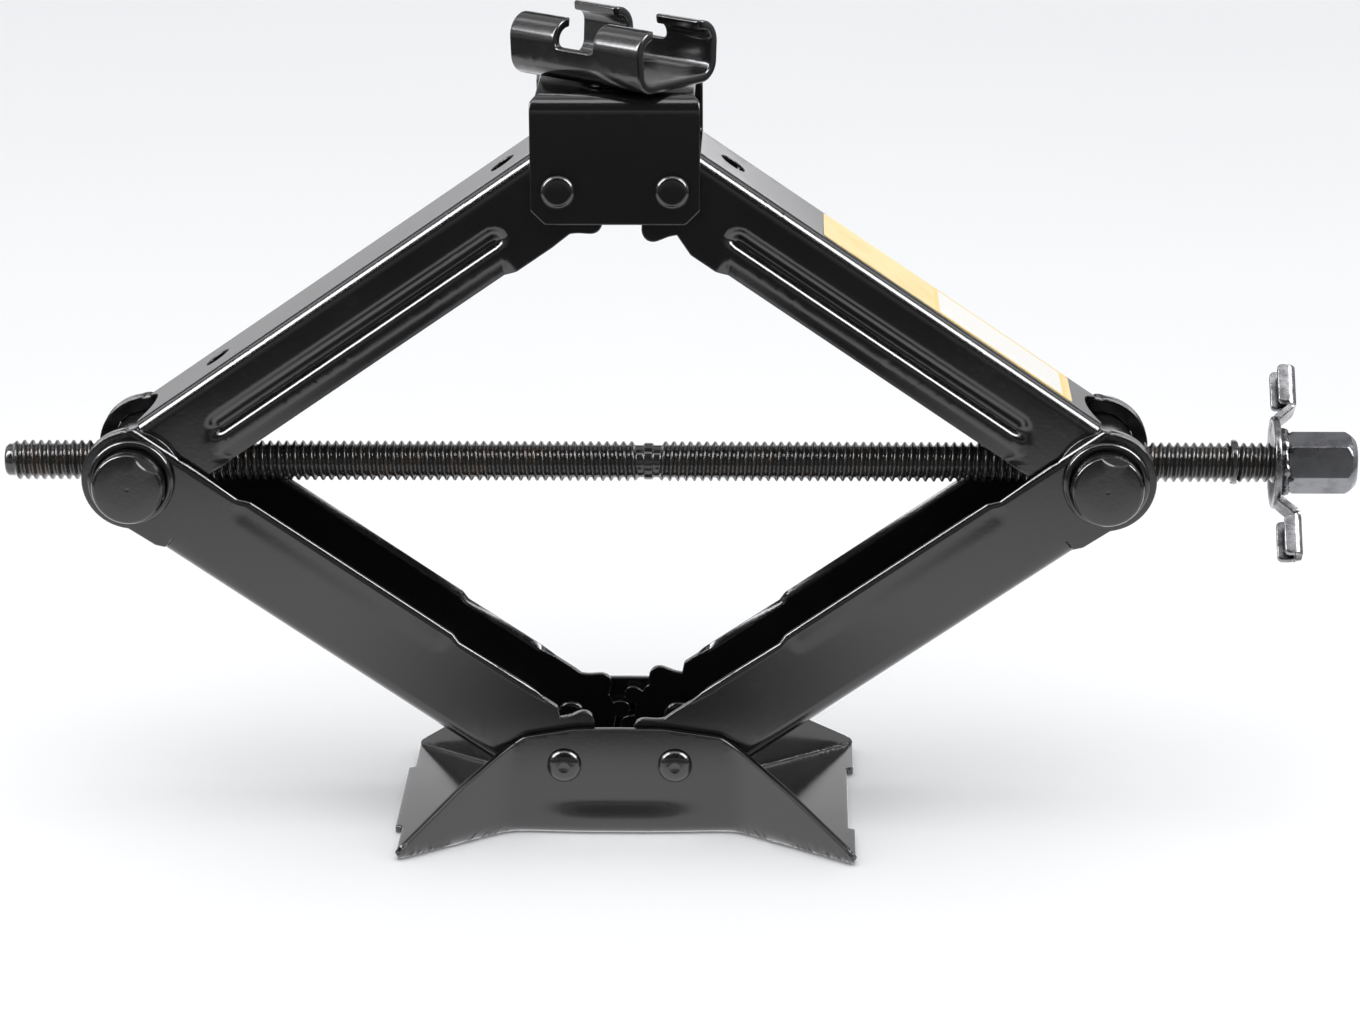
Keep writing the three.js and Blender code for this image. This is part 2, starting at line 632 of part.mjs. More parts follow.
const RIVET_GAP = 0.2;
[['left', -1], ['right', 1]].forEach(([sideName, side]) => {
  [['front', 1], ['back', -1]].forEach(([faceName, face]) => {
    const levels = [
      ['base_rivet', BASE_PIVOT_Z, BASE_WALL_Y, LOWER_WALL_Y],
      ['top_rivet', TOP_PIVOT_Z, BRACKET_WALL_Y, UPPER_WALL_Y],
    ];
    levels.forEach(([label, z, outerY, armY]) => {
      const grip = outerY - (armY - ARM_SHEET) + 2 * RIVET_GAP;
      const holder = new THREE.Group();
      holder.position.set(side * PIVOT_HALF, -face * (outerY + RIVET_GAP), z);
      if (face < 0) {
        holder.rotateZ(Math.PI);
      }
      group.add(holder);
      place(`${label}_${faceName}_${sideName}`, rivetSolid(grip), paint(), [0, 0, 0], holder);
    });
    const washerY = face > 0 ? -LOWER_WALL_Y - GAP - WASHER_THICK : LOWER_WALL_Y + GAP;
    place(`knuckle_washer_${faceName}_${sideName}`, washerSolid(), paint(), [side * KNUCKLE_X, washerY, KNUCKLE_Z]);
  });
  place(`trunnion_${sideName}`, trunnionSolid(), paint(), [side * KNUCKLE_X, 0, KNUCKLE_Z]);
});

place('screw_rod', screwRodSolid(), screwFinish(), [0, 0, KNUCKLE_Z]);
place('lug_plate', lugPlateSolid(), plated(), [0, 0, KNUCKLE_Z]).rotateX(LUG_TURN);
place('drive_hex', hexSolid(), darkNickel(), [0, 0, KNUCKLE_Z]).rotateX(HEX_TURN);
place('stop_collar', collarSolid(), screwFinish(), [COLLAR_X, 0, KNUCKLE_Z]);

const saddleFloorZ = BRACKET_TOP_Z + GAP + PUCK_HEIGHT + GAP;
const puck = barZ(12, 0, PUCK_HEIGHT).subtract(barZ(SWIVEL_RADIUS + 0.1, -1, PUCK_HEIGHT + 1));
place('saddle_washer', puck, paint(), [0, 0, BRACKET_TOP_Z + GAP]);
const saddleHolder = new THREE.Group();
saddleHolder.position.set(0, 0, saddleFloorZ);
saddleHolder.rotateZ(SADDLE_TURN);
group.add(saddleHolder);
place('saddle', saddleSolid(), paint(), [0, 0, 0], saddleHolder);

const swivelTailZ = BRACKET_TOP_Z - saddleFloorZ - BRACKET_WALL - 0.2;
const swivelProfile = [
  [0, swivelTailZ - 2.2],
  [SWIVEL_HEAD_RADIUS - 1.5, swivelTailZ - 2.2],
  [SWIVEL_HEAD_RADIUS - 1, swivelTailZ],
  [SWIVEL_RADIUS, swivelTailZ],
  [SWIVEL_RADIUS, SADDLE_SHEET + 0.2],
  [SWIVEL_HEAD_RADIUS, SADDLE_SHEET + 0.2],
  [SWIVEL_HEAD_RADIUS - 1.5, SADDLE_SHEET + 2.4],
  [0, SADDLE_SHEET + 2.4],
];
const swivel = new THREE.LatheGeometry(swivelProfile.map(([r, z]) => new THREE.Vector2(r, z)), 24);
swivel.rotateX(Math.PI / 2);
place('swivel_rivet', solid(swivel), paint(), [0, 0, saddleFloorZ]);

export default group;
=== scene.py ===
"""Scissor stabilizer jack: finished pieces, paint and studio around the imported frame.

Every length is in metres. Sheet pieces are cut as flat blanks, then folded and pressed;
pins, rivets and washers are turned; the screw is cut as a true helix.
"""
import logging
import math
from dataclasses import dataclass
from enum import Enum
from typing import Callable, Iterable, Sequence

import bmesh
import bpy
from mathutils import Matrix, Vector


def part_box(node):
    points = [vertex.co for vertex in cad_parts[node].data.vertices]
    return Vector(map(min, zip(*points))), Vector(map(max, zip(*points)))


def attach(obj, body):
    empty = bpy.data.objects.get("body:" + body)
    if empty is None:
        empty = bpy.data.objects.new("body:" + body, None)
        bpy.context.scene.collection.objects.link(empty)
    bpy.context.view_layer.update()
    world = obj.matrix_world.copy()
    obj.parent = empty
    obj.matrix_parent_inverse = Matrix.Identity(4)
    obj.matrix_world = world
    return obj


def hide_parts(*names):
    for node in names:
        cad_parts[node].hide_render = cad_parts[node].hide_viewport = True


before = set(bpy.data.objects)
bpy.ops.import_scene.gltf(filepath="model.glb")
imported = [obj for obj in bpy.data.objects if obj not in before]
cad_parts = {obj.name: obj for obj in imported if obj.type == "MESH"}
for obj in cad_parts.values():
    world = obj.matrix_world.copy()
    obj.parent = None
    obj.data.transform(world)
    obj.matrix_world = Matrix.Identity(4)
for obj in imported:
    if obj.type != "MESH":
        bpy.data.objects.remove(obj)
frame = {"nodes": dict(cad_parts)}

LOG = logging.getLogger("jack")
MM = 0.001
TAU = 2 * math.pi

# Edges that turn more than this many radians stay sharp: on turned pieces, and where a solid was cut out.
SHARP_TURN = 0.9
SHARP_CUT = 0.6

# Hole for a pivot rivet's shank in the base and the bracket.
RIVET_HOLE = 3.7 * MM

Point = tuple[float, float]
Fold = Callable[[float, float], Vector]


# ------------------------------------------------------------------ outlines
def smooth(value: float, low: float, high: float) -> float:
    """Smooth step of value between low and high."""
    t = min(max((value - low) / (high - low), 0.0), 1.0)
    return t * t * (3 - 2 * t)


def arc(centre: Point, radius: float, start: float, end: float, count: int) -> list[Point]:
    """Points along an arc, both ends included.

    Args:
        centre: middle of the arc.
        radius: its radius.
        start: first angle in radians.
        end: last angle in radians.
        count: number of steps.

    Returns:
        The points in order from start to end.
    """
    angles = (start + (end - start) * i / count for i in range(count + 1))
    return [(centre[0] + radius * math.cos(a), centre[1] + radius * math.sin(a)) for a in angles]


def rounded(corners: Sequence[tuple[float, ...]], steps: int = 5) -> list[Point]:
    """Rounds the corners of a closed outline.

    Args:
        corners: (x, y) or (x, y, radius) for each corner, in order.
        steps: pieces in each rounded corner.

    Returns:
        The outline with an arc in place of each corner that has a radius.
    """
    result: list[Point] = []
    total = len(corners)
    for index, corner in enumerate(corners):
        here = Vector(corner[:2])
        radius = corner[2] if len(corner) > 2 else 0.0
        before = Vector(corners[index - 1][:2]) - here
        after = Vector(corners[(index + 1) % total][:2]) - here
        if radius <= 0 or before.length == 0 or after.length == 0:
            result.append((here.x, here.y))
            continue
        angle = before.angle(after)
        if angle > math.pi - 0.02:
            result.append((here.x, here.y))
            continue
        reach = min(radius / math.tan(angle / 2), 0.49 * before.length, 0.49 * after.length)
        start = here + before.normalized() * reach
        end = here + after.normalized() * reach
        for step in range(steps + 1):
            t = step / steps
            point = (1 - t) ** 2 * start + 2 * t * (1 - t) * here + t * t * end
            result.append((point.x, point.y))
    return result


def spread(low: float, high: float, step: float) -> list[float]:
    """Evenly spaced values strictly between low and high, no further apart than step."""
    count = max(1, math.ceil((high - low) / step))
    return [low + (high - low) * i / count for i in range(1, count)]


def resampled(points: Sequence[Point], step: float) -> list[Point]:
    """Splits the long edges of a closed outline so that none is longer than step."""
    result: list[Point] = []
    for index, (x0, y0) in enumerate(points):
        x1, y1 = points[(index + 1) % len(points)]
        count = max(1, math.ceil(math.hypot(x1 - x0, y1 - y0) / step))
        result.extend((x0 + (x1 - x0) * i / count, y0 + (y1 - y0) * i / count) for i in range(count))
    return result


def four_fold(quarter: Sequence[Point]) -> list[Point]:
    """Closed outline made from a quarter that runs from the X axis to the Y axis, mirrored in both."""
    outline: list[Point] = list(quarter[:-1])
    outline += [(-x, y) for x, y in reversed(quarter)][:-1]
    outline += [(-x, -y) for x, y in quarter[:-1]]
    outline += [(x, -y) for x, y in reversed(quarter)][:-1]
    return outline


def signed_area(points: Sequence[Point]) -> float:
    """Area of an outline, positive when it runs anticlockwise."""
    pairs = zip(points, list(points[1:]) + [points[0]])
    return 0.5 * sum(a[0] * b[1] - b[0] * a[1] for a, b in pairs)


def shifted(points: Sequence[Point], distance: float) -> list[Point]:
    """Moves each point of an anticlockwise outline inwards by distance (material on the left)."""
    result: list[Point] = []
    total = len(points)
    for index, point in enumerate(points):
        before = Vector(point) - Vector(points[index - 1])
        after = Vector(points[(index + 1) % total]) - Vector(point)
        first = Vector((-before.y, before.x)).normalized()
        second = Vector((-after.y, after.x)).normalized()
        middle = first + second
        if middle.length < 1e-6:
            middle = first
        middle.normalize()
        reach = distance / max(middle.dot(first), 0.6)
        result.append((point[0] + middle.x * reach, point[1] + middle.y * reach))
    return result


# ------------------------------------------------------------------ meshes
def finish_mesh(name: str, bm: bmesh.types.BMesh, sharp: float = 0.0) -> bpy.types.Object:
    """Turns a bmesh into a smooth-shaded object in the scene.

    Args:
        name: name of the object and its mesh.
        bm: the mesh, which is freed.
        sharp: edges that turn more than this angle in radians stay sharp; 0 keeps none sharp.

    Returns:
        The new object, with a weighted-normal modifier.
    """
    bmesh.ops.recalc_face_normals(bm, faces=bm.faces)
    mesh = bpy.data.meshes.new(name)
    for face in bm.faces:
        face.smooth = True
    if sharp:
        for edge in bm.edges:
            if len(edge.link_faces) == 2 and edge.calc_face_angle(0) > sharp:
                edge.smooth = False
    bm.to_mesh(mesh)
    bm.free()
    piece = bpy.data.objects.new(name, mesh)
    bpy.context.scene.collection.objects.link(piece)
    weigh = piece.modifiers.new("even_normals", "WEIGHTED_NORMAL")
    weigh.keep_sharp = True
    weigh.weight = 80
    return piece


def skin(bm: bmesh.types.BMesh, rings: Sequence[Sequence[bmesh.types.BMVert]], closed: bool = True) -> None:
    """Joins neighbouring rings of vertices with faces.

    Args:
        bm: mesh that holds the vertices.
        rings: the rings in order, all of one size.
        closed: False when the rings are open runs.
    """
    size = len(rings[0])
    for low, high in zip(rings, rings[1:]):
        for i in range(size if closed else size - 1):
            j = (i + 1) % size
            bm.faces.new((low[i], low[j], high[j], high[i]))


def carved(piece: bpy.types.Object, cutters: Iterable[bpy.types.Object]) -> bpy.types.Object:
    """Cuts solids out of a piece and removes them from the scene.

    Args:
        piece: the piece to cut.
        cutters: the solids to take away.

    Returns:
        The same piece with its new mesh.
    """
    tools = list(cutters)
    for tool in tools:
        cut = piece.modifiers.new("cut", "BOOLEAN")
        cut.operation = "DIFFERENCE"
        cut.solver = "EXACT"
        cut.object = tool
    for modifier in [m for m in piece.modifiers if m.type == "WEIGHTED_NORMAL"]:
        piece.modifiers.remove(modifier)
    bpy.context.view_layer.update()
    graph = bpy.context.evaluated_depsgraph_get()
    mesh = bpy.data.meshes.new_from_object(piece.evaluated_get(graph))
    piece.modifiers.clear()
    piece.data = mesh
    for tool in tools:
        bpy.data.objects.remove(tool)
    bm = bmesh.new()
    bm.from_mesh(mesh)
    bmesh.ops.remove_doubles(bm, verts=bm.verts, dist=1e-6)
    for edge in bm.edges:
        if len(edge.link_faces) == 2 and edge.calc_face_angle(0) > SHARP_CUT:
            edge.smooth = False
    bm.to_mesh(mesh)
    bm.free()
    weigh = piece.modifiers.new("even_normals", "WEIGHTED_NORMAL")
    weigh.keep_sharp = True
    return piece


def turned(name: str, profile: Sequence[Point], sides: int = 56, ring: bool = False) -> bpy.types.Object:
    """A solid turned about the Z axis.

    Args:
        name: name of the piece.
        profile: (radius, height) points from one end to the other, or round a ring.
        sides: facets round the axis.
        ring: True when the profile closes on itself away from the axis.

    Returns:
        The new object, centred on the Z axis.
    """
    bm = bmesh.new()
    rows: list[list[bmesh.types.BMVert]] = []
    for radius, height in profile:
        if radius < 1e-7:
            rows.append([bm.verts.new((0, 0, height))])
            continue
        rows.append([
            bm.verts.new((radius * math.cos(TAU * i / sides), radius * math.sin(TAU * i / sides), height))
            for i in range(sides)
        ])
    pairs = list(zip(rows, rows[1:]))
    if ring:
        pairs.append((rows[-1], rows[0]))
    for low, high in pairs:
        for i in range(sides):
            j = (i + 1) % sides
            loop = [low[i % len(low)], low[j % len(low)], high[j % len(high)], high[i % len(high)]]
            corners = list(dict.fromkeys(loop))
            if len(corners) >= 3:
                bm.faces.new(corners)
    return finish_mesh(name, bm, sharp=SHARP_TURN)


def moved(piece: bpy.types.Object, matrix: Matrix) -> bpy.types.Object:
    """Carries a piece's vertices by a matrix, so that its object stays at the origin."""
    piece.data.transform(matrix)
    piece.data.update()
    return piece


def joined(name: str, pieces: Sequence[bpy.types.Object]) -> bpy.types.Object:
    """Gathers several solids into one object.

    Args:
        name: name of the new object.
        pieces: the objects to gather, which are removed.

    Returns:
        The new object.
    """
    bm = bmesh.new()
    for piece in pieces:
        bm.from_mesh(piece.data)
        bpy.data.objects.remove(piece)
    return finish_mesh(name, bm, sharp=SHARP_TURN)


# +Z of a turned piece laid along another axis.
ALONG_X = Matrix.Rotation(math.pi / 2, 4, "Y")
ALONG_FRONT = Matrix.Rotation(math.pi / 2, 4, "X")   # +Z to -Y
ALONG_BACK = Matrix.Rotation(-math.pi / 2, 4, "X")   # +Z to +Y


@dataclass
class FoldedSheet:
    """A flat blank with rounded edges, folded and pressed into shape.

    Attributes:
        thickness: sheet thickness.
        edge: rounding of the cut edges.
        fold: maps a point of the blank to the middle of the finished sheet.
    """

    thickness: float
    edge: float
    fold: Fold

    def build(self, name: str, loops: Sequence[Sequence[Point]], cuts: tuple[list[float], list[float]],
              ) -> bpy.types.Object:
        """Cuts the blank, folds it and gives it thickness.

        Args:
            name: name of the piece.
            loops: the outer outline, then the holes, in blank coordinates.
            cuts: places along each blank axis where the sheet is divided so that it can bend.

        Returns:
            The closed sheet piece.
        """
        flat = self._flat(loops, cuts)
        bm = bmesh.new()
        top: dict[int, bmesh.types.BMVert] = {}
        bottom: dict[int, bmesh.types.BMVert] = {}
        half = self.thickness / 2
        flat.verts.ensure_lookup_table()
        flat.verts.index_update()
        for vert in flat.verts:
            place, normal = self._frame(vert.co.x, vert.co.y)
            top[vert.index] = bm.verts.new(place + normal * half)
            bottom[vert.index] = bm.verts.new(place - normal * half)
        for face in flat.faces:
            order = [v.index for v in face.verts]
            if face.normal.z < 0:
                order.reverse()
            bm.faces.new([top[i] for i in order])
            bm.faces.new([bottom[i] for i in reversed(order)])
        self._rim(flat, bm, top, bottom)
        flat.free()
        return finish_mesh(name, bm)

    def _flat(self, loops: Sequence[Sequence[Point]], cuts: tuple[list[float], list[float]],
              ) -> bmesh.types.BMesh:
        """The blank as a flat mesh, short of its edge by the edge's rounding."""
        flat = bmesh.new()
        for index, loop in enumerate(loops):
            anticlockwise = signed_area(loop) > 0
            wanted = index == 0
            ordered = list(loop) if anticlockwise == wanted else list(reversed(loop))
            inner = shifted(ordered, self.edge)
            verts = [flat.verts.new((x, y, 0)) for x, y in inner]
            for i, vert in enumerate(verts):
                flat.edges.new((vert, verts[(i + 1) % len(verts)]))
        bmesh.ops.triangle_fill(flat, use_beauty=True, use_dissolve=False, edges=flat.edges[:])
        for axis, places in enumerate(cuts):
            normal = Vector((1, 0, 0)) if axis == 0 else Vector((0, 1, 0))
            for place in places:
                geometry = flat.verts[:] + flat.edges[:] + flat.faces[:]
                bmesh.ops.bisect_plane(flat, geom=geometry, dist=1e-6,
                                       plane_co=normal * place, plane_no=normal)
        flat.normal_update()
        return flat

    def _frame(self, u: float, v: float) -> tuple[Vector, Vector]:
        """Place and outward normal of the finished sheet at a point of the blank."""
        nudge = 2e-5
        along = self.fold(u + nudge, v) - self.fold(u - nudge, v)
        across = self.fold(u, v + nudge) - self.fold(u, v - nudge)
        return self.fold(u, v), along.cross(across).normalized()

    def _rim(self, flat: bmesh.types.BMesh, bm: bmesh.types.BMesh,
             top: dict[int, bmesh.types.BMVert], bottom: dict[int, bmesh.types.BMVert]) -> None:
        """Joins the two faces of the sheet round every cut edge with a rounded rim."""
        outward: dict[int, Vector] = {}
        rims = [edge for edge in flat.edges if len(edge.link_faces) == 1]
        for edge in rims:
            a, b = (v.co for v in edge.verts)
            side = Vector((b.y - a.y, a.x - b.x, 0)).normalized()
            if (edge.link_faces[0].calc_center_median() - a).dot(side) > 0:
                side = -side
            for vert in edge.verts:
                outward[vert.index] = outward.get(vert.index, Vector()) + side
        half = self.thickness / 2
        steps = 3
        profile: list[Point] = []
        for sign in (1, -1):
            ring = [
                (self.edge * math.sin(math.pi / 2 * i / steps),
                 sign * (half - self.edge + self.edge * math.cos(math.pi / 2 * i / steps)))
                for i in range(1, steps + 1)
            ]
            profile.extend(ring if sign > 0 else reversed(ring))
        rows: dict[int, list[bmesh.types.BMVert]] = {}
        for index, direction in outward.items():
            co = flat.verts[index].co
            length = max(direction.length, 1e-6)
            reach = direction / length / max(length / 2, 0.6)
            middle = []
            for distance, height in profile:
                place, normal = self._frame(co.x + reach.x * distance, co.y + reach.y * distance)
                middle.append(bm.verts.new(place + normal * height))
            rows[index] = [top[index], *middle, bottom[index]]
        for edge in rims:
            first, second = (rows[v.index] for v in edge.verts)
            for i in range(len(first) - 1):
                bm.faces.new((first[i], second[i], second[i + 1], first[i + 1]))


# ------------------------------------------------------------------ shaders
class Value:
    """A shader socket or number that can be used in Python expressions."""

    def __init__(self, shader: "Nodes", source: object) -> None:
        """Keeps what adds the nodes, and the socket or number."""
        self.shader = shader
        self.source = source

    def _math(self, operation: str, *others: object, reverse: bool = False) -> "Value":
        """Adds a Math node on this value and the others, swapped when reverse is set."""
        values = [self, *others]
        if reverse:
            values.reverse()
        return self.shader.node("ShaderNodeMath", {"operation": operation}, dict(enumerate(values)))

    def __add__(self, other: object) -> "Value":
        """Sum."""
        return self._math("ADD", other)

    __radd__ = __add__

    def __sub__(self, other: object) -> "Value":
        """Difference."""
        return self._math("SUBTRACT", other)

    def __rsub__(self, other: object) -> "Value":
        """Difference with the number first."""
        return self._math("SUBTRACT", other, reverse=True)

    def __mul__(self, other: object) -> "Value":
        """Product."""
        return self._math("MULTIPLY", other)

    __rmul__ = __mul__

    def absolute(self) -> "Value":
        """The value without its sign."""
        return self._math("ABSOLUTE")

    def clamp(self) -> "Value":
        """The value held between 0 and 1."""
        return self.shader.node("ShaderNodeClamp", {}, {"Value": self})

    def ramp(self, low: float, high: float, start: float = 0.0, end: float = 1.0) -> "Value":
        """Maps low..high of this value to start..end, held at both ends."""
        settings = {"clamp": True, "interpolation_type": "SMOOTHSTEP"}
        inputs = {"Value": self, "From Min": low, "From Max": high, "To Min": start, "To Max": end}
        return self.shader.node("ShaderNodeMapRange", settings, inputs)


class Nodes:
    """Adds nodes to one tree."""

    def __init__(self, tree: bpy.types.NodeTree) -> None:
        """Keeps the tree and empties it."""
        self.tree = tree
        self.tree.nodes.clear()

    def node(self, kind: str, settings: dict[str, object], inputs: dict[object, object],
             output: object = 0) -> Value:
        """Adds a node.

        Args:
            kind: the node's type.
            settings: its properties.
            inputs: values or links by socket name or index.
            output: the socket to return, by name or index.

        Returns:
            The chosen output as a value.
        """
        node = self.tree.nodes.new(kind)
        for key, setting in settings.items():
            setattr(node, key, setting)
        for key, given in inputs.items():
            socket = node.inputs[key]
            source = given.source if isinstance(given, Value) else given
            if isinstance(source, bpy.types.NodeSocket):
                self.tree.links.new(source, socket)
            else:
                socket.default_value = source
        return Value(self, node.outputs[output])

    def end(self, kind: str, surface: Value) -> None:
        """Ends the tree: links a surface to a new output node of the given kind."""
        output = self.tree.nodes.new(kind)
        self.tree.links.new(surface.source, output.inputs["Surface"])


class Shader(Nodes):
    """Builds one material's nodes."""

    def __init__(self, name: str) -> None:
        """Makes a material with an empty node tree."""
        self.material = bpy.data.materials.new(name)
        self.material.use_nodes = True
        super().__init__(self.material.node_tree)

    def position(self) -> Value:
        """Object coordinates, in metres."""
        return self.node("ShaderNodeTexCoord", {}, {}, "Object")

    def noise(self, scale: float, detail: float = 3.0, roughness: float = 0.55,
              stretch: tuple[float, float, float] = (1, 1, 1)) -> Value:
        """Noise through the object.

        Args:
            scale: features per metre.
            detail: octaves.
            roughness: weight of the fine octaves.
            stretch: scale along each axis.

        Returns:
            The noise value, about 0 to 1.
        """
        mapped = self.node("ShaderNodeMapping", {}, {"Vector": self.position(), "Scale": stretch})
        inputs = {"Vector": mapped, "Scale": scale, "Detail": detail, "Roughness": roughness}
        return self.node("ShaderNodeTexNoise", {}, inputs, 0)

    def mix(self, factor: object, first: object, second: object) -> Value:
        """Mix of two colours by a factor."""
        settings = {"data_type": "RGBA"}
        return self.node("ShaderNodeMix", settings, {0: factor, 6: first, 7: second}, 2)

    def bump(self, height: Value, strength: float, distance: float) -> Value:
        """Bump normal from a height."""
        return self.node("ShaderNodeBump", {}, {"Height": height, "Strength": strength, "Distance": distance})

    def worn(self, radius: float) -> Value:
        """How far the surface bends close by: 0 on flats, towards 1 on edges."""
        bevel = self.node("ShaderNodeBevel", {"samples": 4}, {"Radius": radius})
        geometry = self.node("ShaderNodeNewGeometry", {}, {}, "Normal")
        settings = {"operation": "DOT_PRODUCT"}
        dot = self.node("ShaderNodeVectorMath", settings, {0: bevel, 1: geometry}, "Value")
        return (1 - dot).ramp(0.02, 0.25)

    def principled(self, inputs: dict[object, object]) -> bpy.types.Material:
        """Ends the tree with a Principled shader.

        Args:
            inputs: its sockets by name.

        Returns:
            The finished material.
        """
        self.end("ShaderNodeOutputMaterial", self.node("ShaderNodeBsdfPrincipled", {}, inputs))
        return self.material


# ------------------------------------------------------------------ finishes
@dataclass(frozen=True)
class BlackPaint:
    """Semi-gloss black paint: fine orange peel, thin dust, bare steel showing at worn edges."""

    name: str = "black_paint"
    colour: tuple[float, float, float, float] = (0.0038, 0.0038, 0.004, 1)
    roughness: float = 0.14
    wear: float = 0.22
    dust: float = 0.05

    def make(self) -> bpy.types.Material:
        """Builds the paint's material."""
        shader = Shader(self.name)
        broad = shader.noise(38, 4, 0.6)
        grain = shader.noise(420, 3, 0.6)
        specks = shader.noise(1500, 2, 0.5)
        chips = shader.noise(260, 4, 0.7)
        edge = shader.worn(0.0007)
        bare = (edge * chips.ramp(0.48, 0.62) * self.wear).clamp()
        dusty = broad.ramp(0.52, 0.78) * grain.ramp(0.42, 0.7) * self.dust
        shade = shader.mix(dusty, self.colour, (0.09, 0.085, 0.078, 1))
        colour = shader.mix(bare, shade, (0.2, 0.19, 0.18, 1))
        roughness = self.roughness + broad * 0.09 + dusty * 0.8 + bare * 0.18
        height = shader.noise(760, 2, 0.5) * 0.75 + broad * 0.5 + specks.ramp(0.66, 0.8) * 0.35 - bare * 0.5
        return shader.principled({
            "Base Color": colour,
            "Metallic": bare,
            "Roughness": roughness,
            "Specular IOR Level": 0.5,
            "Coat Weight": (0.3 - bare * 0.3).clamp(),
            "Coat Roughness": 0.12,
            "Normal": shader.bump(height, 0.1, 0.0002),
        })


@dataclass(frozen=True)
class ScrewSteel:
    """Oiled black screw steel, with a faint brown film in patches."""

    name: str = "black_screw"

    def make(self) -> bpy.types.Material:
        """Builds the screw's material."""
        shader = Shader(self.name)
        film = shader.noise(90, 4, 0.6)
        grit = shader.noise(700, 3, 0.6)
        edge = shader.worn(0.0004)
        tint = shader.mix(film.ramp(0.5, 0.8), (0.02, 0.019, 0.018, 1), (0.045, 0.031, 0.022, 1))
        bright = (edge * 0.5 + grit.ramp(0.6, 0.75) * 0.15).clamp()
        colour = shader.mix(bright, tint, (0.2, 0.18, 0.16, 1))
        return shader.principled({
            "Base Color": colour,
            "Metallic": (bright * 0.6 + 0.3).clamp(),
            "Roughness": 0.13 + film * 0.12,
            "Coat Weight": (0.4 - bright * 0.3).clamp(),
            "Coat Roughness": 0.1,
            "Normal": shader.bump(grit, 0.12, 0.0002),
        })


@dataclass(frozen=True)
class DarkZinc:
    """Smoky zinc plating with cloudy patches and scratches."""

    name: str = "bright_steel"
    colour: tuple[float, float, float, float] = (0.17, 0.17, 0.174, 1)
    dark: tuple[float, float, float, float] = (0.06, 0.06, 0.063, 1)

    def make(self) -> bpy.types.Material:
        """Builds the plating's material."""
        shader = Shader(self.name)
        cloud = shader.noise(210, 4, 0.65)
        scratch = shader.noise(300, 3, 0.6, (1, 6, 1))
        grain = shader.noise(1600, 2, 0.6)
        edge = shader.worn(0.0006)
        colour = shader.mix(cloud.ramp(0.38, 0.66), self.colour, self.dark)
        lifted = shader.mix(edge * 0.3, colour, (0.5, 0.5, 0.5, 1))
        return shader.principled({
            "Base Color": lifted,
            "Metallic": 1.0,
            "Roughness": 0.18 + cloud * 0.16 + scratch.ramp(0.55, 0.7) * 0.1,
            "Normal": shader.bump(grain * 0.5 + scratch * 0.5, 0.07, 0.0002),
        })


@dataclass(frozen=True)
class DarkNickel:
    """Smooth, dark nickel plate on the turned and milled drive hex."""

    name: str = "dark_nickel"

    def make(self) -> bpy.types.Material:
        """Builds the plating's material."""
        shader = Shader(self.name)
        cloud = shader.noise(120, 3, 0.6)
        lines = shader.noise(900, 2, 0.6, (4, 0.5, 0.5))
        edge = shader.worn(0.0007)
        colour = shader.mix(cloud.ramp(0.4, 0.7), (0.17, 0.172, 0.18, 1), (0.11, 0.112, 0.12, 1))
        lifted = shader.mix(edge * 0.6, colour, (0.5, 0.5, 0.5, 1))
        return shader.principled({
            "Base Color": lifted,
            "Metallic": 1.0,
            "Roughness": 0.2 + cloud * 0.12,
            "Normal": shader.bump(lines, 0.1, 0.0002),
        })


@dataclass(frozen=True)
class LabelFilm:
    """Printed film without lettering: a warm field, and a pale panel in a yellow frame.

    The panel runs along the label's own X axis, so the film keeps its own coordinates.
    """

    panel_from: float
    panel_to: float
    half: float
    name: str = "label_film"

    def make(self) -> bpy.types.Material:
        """Builds the film's material."""
        shader = Shader(self.name)
        split = shader.node("ShaderNodeSeparateXYZ", {}, {"Vector": shader.position()}, "X")
        across = shader.node("ShaderNodeSeparateXYZ", {}, {"Vector": shader.position()}, "Y")
        side = across.absolute()
        border = 1.6 * MM
        soft = 0.15 * MM
        inside = (split.ramp(self.panel_from + border, self.panel_from + border + soft)
                  * (1 - split.ramp(self.panel_to - border - soft, self.panel_to - border))
                  * (1 - side.ramp(self.half - border - soft, self.half - border)))
        panel = (split.ramp(self.panel_from, self.panel_from + soft)
                 * (1 - split.ramp(self.panel_to, self.panel_to + soft)))
        fade = shader.noise(60, 4, 0.6)
        scuff = shader.noise(480, 4, 0.7)
        field_colour = shader.mix(fade.ramp(0.35, 0.7), (0.88, 0.67, 0.24, 1), (0.84, 0.58, 0.14, 1))
        framed = shader.mix(panel, field_colour, (0.86, 0.6, 0.12, 1))
        printed = shader.mix(inside, framed, (0.82, 0.8, 0.75, 1))
        colour = shader.mix(scuff.ramp(0.62, 0.78) * 0.5, printed, (0.42, 0.36, 0.28, 1))
        return shader.principled({
            "Base Color": colour,
            "Roughness": 0.3 + scuff * 0.2,
            "Coat Weight": (0.5 - scuff.ramp(0.55, 0.8) * 0.4).clamp(),
            "Coat Roughness": 0.15,
            "Normal": shader.bump(fade + scuff * 0.3, 0.12, 0.0003),
        })


Finish = BlackPaint | ScrewSteel | DarkZinc | DarkNickel | LabelFilm


class Slot(Enum):
    """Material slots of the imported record."""

    PAINT = "black_paint"
    SCREW = "black_screw"
    STEEL = "bright_steel"
    NICKEL = "dark_nickel"
    LABEL = "label_film"


